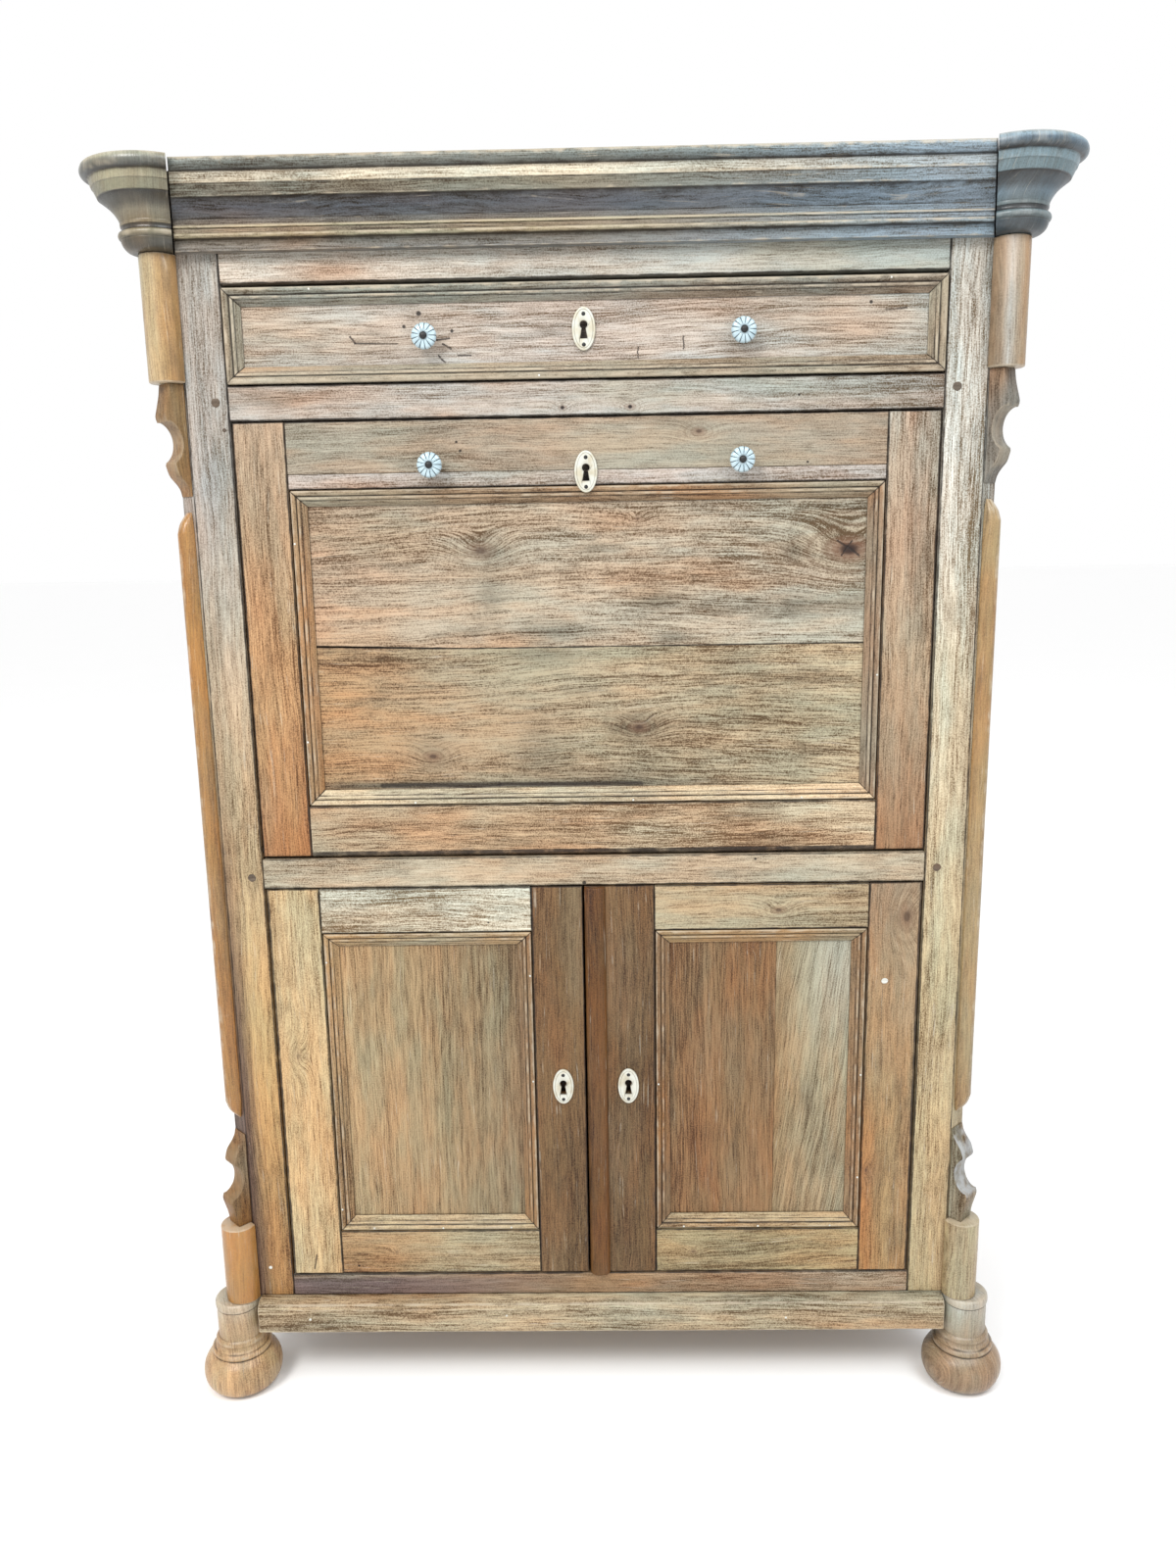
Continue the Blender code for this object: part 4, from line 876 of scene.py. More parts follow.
M["dl_left"] = wood("left_door_outer_stile_wood", "z", (222, 191, 149), None, 31.0, figure=0.03, ring=75, mottle=0.7, hue=0.9, cool=(196, 188, 158), cool_amt=0.4,
                    warm=(206, 160, 112), warm_amt=0.4, knots=[(0.462, -0.372, 0.009, 0.3)],
                    cracks=[(0.166, -0.371, 0.186, -0.367, 0.0014)])
M["dl_top"] = wood("left_door_top_rail_wood", "x", (240, 231, 211), None, 32.0, figure=0.035, ring=75, mottle=1.2, contrast=1.0, cool=(196, 196, 180), cool_amt=0.4,
                   warm=(206, 168, 124), warm_amt=0.35, holes=[(-0.128, 0.6345, 0.0012)])
M["dl_bottom"] = wood("left_door_bottom_rail_wood", "x", (192, 171, 138), None, 33.0, figure=0.02, mottle=1.4, hue=0.9, cool_amt=0.35,
                      knots=[(-0.262, 0.189, 0.004, 0.3)], holes=[(-0.312, 0.1695, 0.0016)])
M["dl_right"] = wood("left_door_inner_stile_wood", "z", (131, 100, 69), None, 34.0, figure=0.012, streak=0.6, cool=(140, 130, 108), cool_amt=0.3,
                     warm=(140, 94, 62), warm_amt=0.4)
M["dl_panel"] = wood("left_door_panel_wood", "z", [(-0.34, (192, 164, 128)), (-0.22, (178, 148, 114)), (-0.15, (164, 142, 112)),
                                                (-0.07, (150, 126, 100))], "x", 35.0, figure=0.014, contrast=1.1, streak=0.55, mottle=0.9, hue=1.0,
                     cool=(158, 148, 120), cool_amt=0.5, warm=(176, 124, 82), warm_amt=0.4)
# The bottom length of the left door moulding is paler and the top length darker: painted light on the bottom, painted
# shade on the top.
M["dl_mould_x"] = wood("left_door_moulding_wood", "x", (214, 187, 149), None, 36.0, figure=0.004, ring=120, scratch=0.5)
M["dl_mould_top"] = wood("left_door_moulding_top_wood", "x", (188, 158, 120), None, 36.2, figure=0.004, ring=120, scratch=0.4)
M["dl_mould_left"] = wood("left_door_moulding_left_wood", "z", (188, 150, 110), None, 36.4, figure=0.004, ring=120, cool_amt=0.1)
M["dl_mould_right"] = wood("left_door_moulding_right_wood", "z", (152, 120, 90), None, 36.8, figure=0.004, ring=120, cool_amt=0.1)
M["dr_left"] = wood("right_door_inner_stile_wood", "z", (129, 97, 66), None, 37.0, figure=0.012, streak=0.6, mottle=1.4, hue=1.0, cool=(132, 118, 98), cool_amt=0.3,
                    warm=(138, 92, 60), warm_amt=0.4)
M["dr_top"] = wood("right_door_top_rail_wood", "x", (187, 169, 141), None, 38.0, figure=0.03, contrast=1.15, mottle=1.4, hue=1.0, cool=(170, 168, 146), cool_amt=0.4,
                   warm=(184, 142, 102), warm_amt=0.4, knots=[(0.225, 0.646, 0.008, 0.55)])
M["dr_bottom"] = wood("right_door_bottom_rail_wood", "x", (195, 170, 131), None, 39.0, figure=0.025, mottle=1.3, hue=1.0, cool=(166, 158, 132), cool_amt=0.4,
                      warm=(178, 130, 86), warm_amt=0.4, knots=[(0.122, 0.187, 0.005, 0.45)])
M["dr_right"] = wood("right_door_outer_stile_wood", "z", [(0.16, (184, 147, 105)), (0.50, (178, 147, 112)), (0.68, (168, 144, 120))], "z", 40.0,
                     figure=0.025, mottle=0.6, streak=0.6, hue=1.0, cool=(160, 152, 134), cool_amt=0.4,
                     warm=(184, 124, 76), warm_amt=0.6, knots=[(0.636, 0.380, 0.015, 0.55), (0.300, 0.341, 0.005, 0.5)],
                     smudges=[(0.290, 0.345, 0.022, 0.010, 0.30), (0.205, 0.385, 0.030, 0.009, 0.30)])
M["dr_panel_a"] = wood("right_door_panel_left_wood", "z", (152, 116, 83), None, 41.0, figure=0.014, contrast=1.1, streak=0.6, hue=1.0,
                       cool=(148, 132, 108), cool_amt=0.45, warm=(160, 104, 68), warm_amt=0.5,
                       knots=[(0.596, 0.196, 0.003, 0.4)])
M["dr_panel_b"] = wood("right_door_panel_right_wood", "z", [(0.22, (160, 134, 103)), (0.26, (178, 158, 128)), (0.34, (178, 164, 138))], "x", 42.0,
                       figure=0.045, contrast=1.1, streak=1.0, hue=1.0, mottle=0.7, lean=-0.14, cool=(176, 174, 156), cool_amt=0.5,
                       warm=(176, 138, 98), warm_amt=0.4, stain=door_sheen, smudges=[(0.395, 0.265, 0.030, 0.010, 0.35), (0.31, 0.300, 0.020, 0.008, 0.25)])
# The bottom length of the right door moulding is paler and the top length darker: painted light on the bottom, painted
# shade on the top.
M["dr_mould_x"] = wood("right_door_moulding_wood", "x", (204, 178, 142), None, 43.0, figure=0.004, ring=120, scratch=0.45)
M["dr_mould_top"] = wood("right_door_moulding_top_wood", "x", (174, 144, 108), None, 43.2, figure=0.004, ring=120, scratch=0.4)
M["dr_mould_left"] = wood("right_door_moulding_left_wood", "z", (150, 118, 88), None, 43.4, figure=0.004, ring=120, cool_amt=0.1)
M["dr_mould_right"] = wood("right_door_moulding_right_wood", "z", (160, 130, 100), None, 43.8, figure=0.004, ring=120, cool_amt=0.1)
M["astragal"] = wood("astragal_wood", "z", (111, 74, 41), None, 44.0, figure=0.008, cool=(118, 96, 76), cool_amt=0.3,
                     warm=(134, 86, 54), warm_amt=0.5)
M["peg"] = wood("peg_wood", "xy", (108, 94, 82), None, 45.0, ring=300, contrast=0.6, cool_amt=0.0, warm_amt=0.2, wear_and_highlight_amt=0.2)
M["fill"] = wood("filler_wood", "xy", (255, 252, 240), None, 46.0, ring=300, contrast=0.3, mottle=0.3, hue=0.0, grime=0.0, cool_amt=0.0, warm_amt=0.0,
                 rough=0.7)
M["bone"] = bone_mat()
M["ceramic"] = ceramic_mat()
M["iron"] = metal_mat("blackened_iron", (58, 54, 50), (34, 30, 28), 0.6, 0.5)
M["dome"] = metal_mat("blackened_dome", (20, 19, 18), (9, 9, 9), 0.0, 0.50, 500.0)
M["steel"] = metal_mat("lock_steel", (150, 146, 138), (104, 96, 86), 1.0, 0.45)
M["brass"] = metal_mat("old_brass", (164, 142, 98), (104, 86, 58), 1.0, 0.50, 120.0)

# ---------------------------------------------------------------- carcass
CAR = "carcass"
for s, side in ((-1, "left"), (1, "right")):
    corners = [(s * 0.3991, F, 0.0010), (s * 0.4458, F, 0.0014), (s * 0.4658, F + 0.02, 0.0012),
               (s * 0.4658, F + 0.027, 0.0006), (s * 0.3991, F + 0.027, 0.0008)]
    post = bar("post_" + side, corners, (0.1279, Z_CARCASS), ALONG["z"], M["stile_" + side], CAR, ("stile_" + side,),
               slot="wood_grey")
    a, b = sorted((s * 0.3981, s * 0.4062))
    carve(post, rod_body(FALL_AXIS, "x", 0.0046, a, b))
    # three upright planks make each side; the rear one runs down as the back foot
    planks = [[(-0.1612, 0.1279), (-0.1535, 0.1279), (-0.1535, 0.0855), (-0.0203, 0.0855), (-0.0203, 1.464), (-0.1612, 1.464)],
              [(-0.0199, 0.0855), (0.1098, 0.0855), (0.1098, 1.464), (-0.0199, 1.464)],
              [(0.1102, 0.0855), (0.195, 0.0855), (0.205, 0.0), (0.26, 0.0), (0.26, 1.464), (0.1102, 1.464)]]
    for k, pts in enumerate(planks):
        plate(f"side_{side}_plank_{k + 1}", outline([(y, z, 0.0016) for y, z in pts], step=0.06),
              lambda p, q, t: (t, p, q), s * 0.4458, s * 0.4658, M["side"], CAR, ("side_" + side,), bevel=0.0010, rim=0.0014,
              soil_and_shade=lambda p, q: 0.8 if p < 0.256 and q > 0.13 else 0.12)

edges = [-0.4455, -0.262, -0.0935, 0.081, 0.268, 0.4455]
for k in range(5):
    plank(f"back_board_{k + 1}", (edges[k] + 0.0004 * (k > 0), 0.2440, 0.1000), (edges[k + 1] - 0.0004 * (k < 4), 0.2580, Z_CARCASS), "z",
          M["back"], CAR, ("back_panel",), slot="wood_secondary", r=0.0014, step=0.05)
for name, node, y0, z0, z1, slot in (("cupboard_floor_board", "cupboard_floor", F + 0.0275, 0.1360, 0.1560, "wood_secondary"),
                                     ("desk_floor_board", "desk_floor", F + 0.0275, 0.7205, 0.7422, "wood"),
                                     ("dust_board_boards", "dust_board", F + 0.0305, 1.2405, 1.2632, "wood_secondary")):
    ym = (y0 + 0.2437) / 2
    plank(name + "_front", (-0.4455, y0, z0), (0.4455, ym - 0.0002, z1), "x", M["inside_x"], CAR, (node,), slot=slot, step=0.05)
    plank(name + "_rear", (-0.4455, ym + 0.0002, z0), (0.4455, 0.2437, z1), "x", M["inside_x"], CAR, (node,), slot=slot, step=0.05)

plate("top_board_front", outline([(-0.4455, F, 0.0016), (0.4455, F, 0.0016), (0.4655, F + 0.02, 0.0016), (0.4655, -0.0822, 0.0016),
                                  (-0.4655, -0.0822, 0.0016), (-0.4655, F + 0.02, 0.0016)], step=0.06),
      lambda p, q, t: (p, q, t), 1.4643, 1.4868, M["top"], CAR, ("top_board",), rim=0.0015, soil_and_shade=lambda p, q: 0.8)
for k, (y0, y1) in enumerate(((-0.0818, 0.0330), (0.0334, 0.1482), (0.1486, 0.2597))):
    plank(f"top_board_{k + 2}", (-0.4655, y0, 1.4643), (0.4655, y1, 1.4868), "x", M["top"], CAR, ("top_board",), step=0.04)

RX = 0.3988
rail = plank("frieze_board", (-RX, F, 1.3706), (RX, F + 0.026, Z_CARCASS), "x", M["frieze"], CAR, ("frieze_rail",))
carve(rail, box_body(-0.0130, 0.0130, F + 0.0104, F + 0.0176, 1.3696, 1.3770))
rail = plank("drawer_rail_board", (-RX, F, 1.2258), (RX, F + 0.030, 1.2632), "x", M["drawer_rail"], CAR, ("drawer_rail",))
carve(rail, box_body(-0.0130, 0.0130, F + 0.0082, F + 0.0158, 1.2248, 1.2335))
rail = plank("middle_rail_board", (-RX, F, 0.6805), (RX, F + 0.027, 0.7170), "x", M["middle_rail"], CAR, ("middle_rail",),
             slot="wood_pale", chip=0.001, radii={0: 0.0016, 3: 0.0014}, edge_wear=0.5, edge_dirt=0.7)
carve(rail, *(rod_body((s * 0.3896, F + 0.006), "z", 0.0042, 0.6795, 0.6895) for s in (-1, 1)))
rail = plank("bottom_rail_board", (-RX, F, 0.1279), (RX, F + 0.026, 0.1577), "x", M["bottom_rail"], CAR, ("bottom_rail",), chip=0.0008)
carve(rail, *(rod_body((s * 0.3896, F + 0.006), "z", 0.0042, 0.1487, 0.1590) for s in (-1, 1)))
# Plinth section (depth, height, radius, paleness): the rounded top edge is paled, partly wear, partly painted
# highlight.
pl = [(F + 0.026, 0.0855, 0.001), (F - 0.0190, 0.0855, 0.0014), (F - 0.0190, 0.1178, 0.003, 0.7), (F - 0.0165, 0.1240, 0.003, 0.9),
      (F - 0.0100, 0.1268, 0.003, 0.6), (F, 0.1276, 0.0004, 0.0), (F + 0.026, 0.1276, 0.0006)]
bar("plinth_board", pl, (-0.443, 0.443), ALONG["x"], M["plinth"], CAR, ("plinth",), slot="wood_pale", chip=0.0008, edge_wear=0.9, edge_dirt=0.0)

# cornice: (projection, height, paleness, darkness); the pale crests are partly painted highlight, the dark cove and
# quirks partly painted shade
CORNICE = runs([(0.0, H, 0, 0), (0.0395, H, 0.4, 0)],
               [(0.0395, H, 0.5, 0), (0.0436, 1.4870, 0.9, 0), (0.0458, 1.4850, 0.8, 0), (0.0465, 1.4812, 0.3, 0),
                (0.0455, 1.4770, 0.2, 0.1), (0.0428, 1.4740, 0.1, 0.8)],
               [(0.0405, 1.4737, 0, 1.0), (0.0402, 1.4722, 0.2, 0.3), (0.0397, 1.4670, 0.3, 0), (0.0395, 1.4628, 0.9, 0)],
               [(0.0386, 1.4620, 0, 0.9), (0.0382, 1.4600, 0, 0.3), (0.0374, 1.4550, 0, 0.1), (0.0370, 1.4502, 0.6, 0.1)],
               [(0.0347, 1.4494, 0, 0.9), (0.0318, 1.4468, 0, 0.5), (0.0268, 1.4420, 0, 0.3), (0.0212, 1.4375, 0, 0.25),
                (0.0182, 1.4345, 0, 0.35), (0.0172, 1.4325, 0, 0.7)],
               [(0.0176, 1.4322, 0.4, 0.2), (0.0178, 1.4300, 0.1, 0), (0.0176, 1.4272, 0.1, 0.3)],
               [(0.0178, 1.4266, 0.3, 0.6), (0.0190, 1.4258, 0.9, 0), (0.0194, 1.4247, 0.9, 0), (0.0190, 1.4236, 0.3, 0.2), (0.0178, 1.4230, 0, 0.9)],
               [(0.0178, 1.4226, 0, 0.5), (0.0182, 1.4206, 0.1, 0), (0.0184, 1.4188, 0, 0.7)],
               [(0.0186, 1.4184, 0.3, 0.4), (0.0206, 1.4174, 0.8, 0), (0.0215, 1.4160, 0.8, 0), (0.0212, 1.4143, 0.4, 0), (0.0196, 1.4130, 0.1, 0.8)],
               [(0.0140, 1.4126, 0, 1.0), (0.0138, 1.4110, 0, 0.4), (0.0133, 1.4050, 0.1, 0.1), (0.0130, 1.4014, 0.7, 0)],
               [(0.0, 1.4014, 0, 0)], sub=3)
length("cornice_front_length", CORNICE, lambda a, b, t: (t, F - GAP - a, b), lambda a, b: -(0.4450 - 0.34 * a),
       lambda a, b: 0.4450 - 0.34 * a, M["cornice"], CAR, ("cornice_front",), slot="wood_grey", end_dirt_and_shade=0.9, wob=0.0003)
for s, side in ((-1, "left"), (1, "right")):
    length("cornice_side_length_" + side, CORNICE, lambda a, b, t, s=s: (s * (0.4658 + GAP + a), t, b),
           lambda a, b: F + 0.0195 + 0.34 * a, lambda a, b: 0.2597, M["cornice_y"], CAR, ("cornice_side_" + side,),
           slot="wood_grey", end_dirt_and_shade=0.9, wob=0.0003)

# Corner block profile (radius, height, paleness, darkness): pale bead tops partly painted highlight, dark quirks and
# cove partly painted shade.
CORNER = runs([(0.0240, 1.4014, 0.2, 0.2), (0.0300, 1.4032, 0.3, 0), (0.0345, 1.4072, 0.3, 0), (0.0366, 1.4118, 0.1, 0.2), (0.0368, 1.4134, 0, 0.8)],
              [(0.0372, 1.4140, 0.2, 0.6), (0.0388, 1.4158, 0.7, 0), (0.0394, 1.4182, 0.8, 0), (0.0384, 1.4208, 0.4, 0.1), (0.0364, 1.4220, 0, 0.8)],
              [(0.0358, 1.4224, 0, 0.7), (0.0352, 1.4245, 0, 0.4), (0.0356, 1.4266, 0.1, 0.6)],
              [(0.0362, 1.4270, 0.5, 0.2), (0.0366, 1.4288, 0.6, 0), (0.0366, 1.4304, 0.3, 0.3)],
              [(0.0364, 1.4308, 0, 0.5), (0.0376, 1.4345, 0, 0.1), (0.0412, 1.4405, 0, 0.1), (0.0470, 1.4470, 0, 0.3), (0.0540, 1.4525, 0, 0.5),
               (0.0556, 1.4540, 0, 0.8)],
              [(0.0570, 1.4546, 0.4, 0.3), (0.0590, 1.4590, 0.1, 0.1), (0.0612, 1.4640, 0, 0.4)],
              [(0.0622, 1.4646, 0.6, 0.2), (0.0634, 1.4680, 0.3, 0), (0.0642, 1.4722, 0, 0.6)],
              [(0.0660, 1.4728, 0.2, 0.9), (0.0712, 1.4758, 0.5, 0), (0.0726, 1.4798, 0.5, 0), (0.0715, 1.4842, 0.6, 0),
               (0.0690, 1.4868, 0.9, 0), (0.0660, H, 0.7, 0)], sub=4)
AX = 0.4558 + 0.0121 * ROOT2
AY = F + 0.01 - 0.0121 * ROOT2


def crossing(r, corner, direction):
    """Angle at which the circle of radius r about the corner's axis meets a cut plane."""
    px, py = corner[0] - AX, corner[1] - AY
    dx, dy = direction
    a, b, c = dx * dx + dy * dy, px * dx + py * dy, px * px + py * py - r * r
    t = (-b + math.sqrt(b * b - a * c)) / a
    return math.atan2(py + t * dy, px + t * dx)


for s, side in ((-1, "left"), (1, "right")):
    A, B = (0.4468, F + 0.0004), (0.4652, F + 0.0190)
    da, db = (-0.034, -0.1004), (0.1548, 0.0524)
    seg = 44
    verts, wear, dirt = [], [], []
    off = 31.0 + s
    for r, z, w, d in CORNER:
        a0, a1 = crossing(r, A, da), crossing(r, B, db)
        ring = [(A[0], A[1], 0.0, 0.6)]
        while a0 > a1:
            a0 -= 2 * math.pi
        for k in range(seg + 1):
            a = a0 + (a1 - a0) * k / seg
            rim = 0.9 if k in (0, seg) else 0.0
            worn = 0.0004 * max(0.0, noise.noise(Vector((a * 3.0, z * 60.0, off)))) if 0 < k < seg else 0.0
            ring.append((AX + (r - worn) * math.cos(a), AY + (r - worn) * math.sin(a), w, max(d, rim * 0.6)))
        ring.append((B[0], B[1], 0.0, 0.6))
        for x, y, ww, dd in ring:
            verts.append((s * x, y, z))
            wear.append(ww)
            dirt.append(dd)
    n = seg + 3
    rows = len(CORNER)
    faces = [list(range(n)), list(range((rows - 1) * n, rows * n))]
    for k in range(rows - 1):
        for i in range(n):
            j = (i + 1) % n
            faces.append([k * n + i, k * n + j, (k + 1) * n + j, (k + 1) * n + i])
    make("cornice_block_" + side, verts, faces, M["corner_" + side], CAR, ("cornice_corner_" + side,), "wood_grey", wear, dirt, 26.0)


# ---------------------------------------------------------------- canted corners
def on_cant(s, n, t, z):
    return (s * (0.4558 + (n + t) * ROOT2), F + 0.01 + (t - n) * ROOT2, z)


def column(name, s, r, z0, z1, mat, node):
    lim = math.acos(-(0.0121 - GAP) / r)
    pts = []
    for k in range(33):
        a = lim - 2 * lim * k / 32
        pts.append((0.0121 + r * math.cos(a), r * math.sin(a), 0.0))
    pts = pts[::-1]
    for f in (0.66, 0.33):
        pts.append((GAP, pts[32][1] + (pts[0][1] - pts[32][1]) * (1 - f), 0.0))
    bar(name, None, (z0, z1), lambda p, q, t: on_cant(s, p, q, t), mat, CAR, (node,), points=pts, end=0.0016, chip=0.0009,
        wob=0.0003, angle=40.0, edge_wear=0.9, edge_dirt=0.2)


# Scroll outline (along, out, paleness): the scroll's curve is paled, partly wear, partly painted highlight.
def bracket_points():
    pts = spline([(0.0003, 0.0183, 0.3), (0.0120, 0.0200, 0.2), (0.0250, 0.0232, 0.3), (0.0350, 0.0256, 0.5), (0.0415, 0.0240, 1.0)], 3)
    for k in range(25):
        a = math.radians(17 + (152 - 17) * k / 24)
        pts.append((0.0640 - 0.0235 * math.cos(a), 0.0262 - 0.0189 * math.sin(a), 0.9 if k > 2 else 1.0))
    pts += spline([(0.0880, 0.0182, 1.0), (0.0985, 0.0150, 1.0), (0.1040, 0.0110, 0.9), (0.1090, 0.0068, 0.7),
                   (0.1150, 0.0032, 0.5), (0.1225, 0.0010, 0.3)], 3)
    pts += [(0.1225, GAP, 0.0)] + [(0.1225 - 0.0203 * k, GAP, 0.0) for k in range(1, 6)] + [(0.0003, GAP, 0.0)]
    return pts


def bracket(name, s, z, up, mat, node, slot):
    k = 1 if up else -1
    plate(name, bracket_points(), lambda p, q, t: on_cant(s, q, t, z + k * p), -0.01275, 0.01275, mat, CAR, (node,), slot=slot,
          bevel=0.0013, rim=0.0021, chip=0.0005, side_wear_and_highlight=0.9, angle=38.0)


def corner_rod(name, s, mat, node):
    half, straight, tall = 0.0095, 0.0060, 0.0155
    sec = [(GAP, -half)] + [(straight + (tall - straight) * math.sin(math.pi * k / 20), -half * math.cos(math.pi * k / 20))
                            for k in range(21)] + [(GAP, half)]
    ends = spline([(0.0, 0.12), (0.003, 0.30), (0.008, 0.56), (0.014, 0.80), (0.024, 1.0)], 3)
    loops = [(0.3780 + z, f) for z, f in ends]
    z = 0.3780 + 0.05
    while z < 1.1270 - 0.04:
        loops.append((z, 1.0))
        z += 0.03
    loops += [(1.1270 - z, f) for z, f in ends[::-1]]
    n = len(sec)
    verts, wear = [], []
    for z, f in loops:
        for q, t in sec:
            out = max(GAP, q * f) if q > GAP else GAP
            if q > GAP:
                out -= 0.0004 * max(0.0, noise.noise(Vector((t * 60, z * 14, s * 3.0))))
            verts.append(on_cant(s, out, t * (0.55 + 0.45 * f), z))
            wear.append((0.55 if f >= 1.0 else 0.8) if q > 0.0145 else 0.15)
    faces = [list(range(n)), list(range((len(loops) - 1) * n, len(loops) * n))]
    for k in range(len(loops) - 1):
        for i in range(n):
            j = (i + 1) % n
            faces.append([k * n + i, k * n + j, (k + 1) * n + j, (k + 1) * n + i])
    make(name, verts, faces, mat, CAR, (node,), "wood", wear, None, 45.0)


# Bun foot profile (radius, height, paleness, darkness): dark quirks partly painted shade, pale bead tops partly painted
# highlight.
FOOT = runs([(0.0, 0.0, 0, 0.3), (0.0300, 0.0, 0.3, 0.4)],
            [(0.0300, 0.0, 0.3, 0.4), (0.0385, 0.0035, 0.3, 0.2), (0.0455, 0.0100, 0.1, 0), (0.0492, 0.0190, 0.1, 0),
             (0.0500, 0.0280, 0.2, 0), (0.0485, 0.0370, 0.2, 0), (0.0440, 0.0455, 0.2, 0), (0.0385, 0.0510, 0.1, 0.2),
             (0.0362, 0.0528, 0, 0.9)],
            [(0.0362, 0.0534, 0, 0.7), (0.0375, 0.0552, 0.5, 0), (0.0378, 0.0572, 0.6, 0), (0.0372, 0.0592, 0.5, 0), (0.0350, 0.0610, 0.1, 0.6)],
            [(0.0346, 0.0613, 0, 0.7), (0.0318, 0.0636, 0.3, 0.1), (0.0310, 0.0665, 0.1, 0.4), (0.0314, 0.0690, 0.1, 0.3), (0.0318, 0.0712, 0.6, 0),
             (0.0304, 0.0742, 0.3, 0), (0.0281, 0.0765, 0.0, 0.5)],
            [(0.0281, 0.0765, 0.0, 0.3), (0.0278, 0.0800, 0.1, 0), (0.0278, 0.1120, 0.1, 0), (0.0276, 0.1150, 0.1, 0.2)],
            [(0.0268, 0.1157, 0, 0.9), (0.0280, 0.1168, 0.6, 0), (0.0288, 0.1186, 0.8, 0), (0.0291, 0.1222, 0.6, 0), (0.0284, 0.1256, 0.7, 0),
             (0.0262, 0.1276, 0.8, 0)],
            [(0.0, 0.1276, 0, 0)], sub=4)
for s, side in ((-1, "left"), (1, "right")):
    column("upper_column_turned_" + side, s, 0.0209, 1.2672, 1.4011, M["ucol_" + side], "upper_column_" + side)
    column("lower_column_turned_" + side, s, 0.0226, 0.1279, 0.2333, M["lcol_" + side], "lower_column_" + side)
    bracket("upper_scroll_" + side, s, 1.2672, False, M["ubr_" + side], "upper_bracket_" + side, "wood")
    bracket("lower_scroll_" + side, s, 0.2333, True, M["lbr_" + side], "lower_bracket_" + side, "wood_pale")
    corner_rod("rod_" + side, s, M["rod_" + side], "corner_rod_" + side)

    def worn_turning(a, r, h, w, d, s=s):
        dent = noise.noise(Vector((math.cos(a) * 2.0, math.sin(a) * 2.0, h * 45.0 + s * 9)))
        return r - 0.0005 * max(0.0, dent), h, w, d

    turned("foot_turned_" + side, FOOT, 80, lambda u, v, h, s=s: (s * (0.4741 + u), F + 0.0033 + v, h), M["foot_" + side], CAR,
           ("foot_front_" + side,), alter=worn_turning)


# ---------------------------------------------------------------- pegs and filled nail holes
def dots(name, places, mat, body, slot, proud=0.0004, squash=1.0):
    """Small round plugs set in a front face; places are (x, y of the face, z, radius)."""
    verts, faces, wear = [], [], []
    for i, (x, y, z, r) in enumerate(places):
        prof = [(1.0, 0.0008), (1.0, -0.4 * proud), (0.86, -0.85 * proud), (0.45, -proud)]
        segs = 18
        base = len(verts)
        for fr, dy in prof:
            for k in range(segs):
                a = 2 * math.pi * k / segs
                rr = r * fr * (1 + 0.10 * noise.noise(Vector((math.cos(a) * 1.6, math.sin(a) * 1.6, i * 3.7 + z))))
                verts.append((x + rr * math.cos(a) * squash, y + dy, z + rr * math.sin(a)))
                wear.append(0.3)
        verts.append((x, y - proud, z))
        wear.append(0.3)
        for q in range(len(prof) - 1):
            for k in range(segs):
                j = (k + 1) % segs
                faces.append([base + q * segs + k, base + q * segs + j, base + (q + 1) * segs + j, base + (q + 1) * segs + k])
        top = base + (len(prof) - 1) * segs
        faces += [[top + k, top + (k + 1) % segs, len(verts) - 1] for k in range(segs)]
        faces.append([base + k for k in range(segs)])
    return make(name, verts, faces, mat, body, (), slot, wear, None, 40.0)


dots("post_pegs", [(-0.4129, F, 1.2462, 0.0050), (-0.4131, F, 0.6944, 0.0048), (-0.4053, F, 1.2165, 0.0022), (0.4125, F, 1.2488, 0.0050),
                   (0.4134, F, 0.6975, 0.0048)], M["peg"], CAR, "wood")
dots("plinth_fills", [(-0.375, F - 0.019, 0.105, 0.0016), (-0.12, F - 0.019, 0.109, 0.0013), (0.24, F - 0.019, 0.104, 0.0014)],
     M["fill"], CAR, "wood_pale", 0.0003)
dots("left_post_fill", [(-0.4275, F, 0.168, 0.0022)], M["fill"], CAR, "wood_pale", 0.0003)


# ---------------------------------------------------------------- key plates and knobs
def keyhole_points(x, z, grow=0.0):
    pts = []
    for k in range(15):
        a = math.radians(-58 + 296 * k / 14)
        pts.append((x + (0.0043 + grow) * math.cos(a), z + 0.0042 + (0.0043 + grow) * math.sin(a)))
    return pts + [(x - 0.0040 - grow, z - 0.0102 - grow), (x + 0.0040 + grow, z - 0.0102 - grow)]


def key_ray(points, angle, centre):
    """Distance from centre to the keyhole's edge."""
    dx, dz = math.cos(angle), math.sin(angle)
    best = 0.0
    for (ax, az), (bx, bz) in zip(points, points[1:] + points[:1]):
        ax, az, bx, bz = ax - centre[0], az - centre[1], bx - centre[0], bz - centre[1]
        ex, ez = bx - ax, bz - az
        det = ex * dz - ez * dx
        if abs(det) < 1e-12:
            continue
        u = (az * dx - ax * dz) / det
        t = (ex * az - ez * ax) / det
        if -1e-9 <= u <= 1 + 1e-9 and t > best:
            best = t
    return best


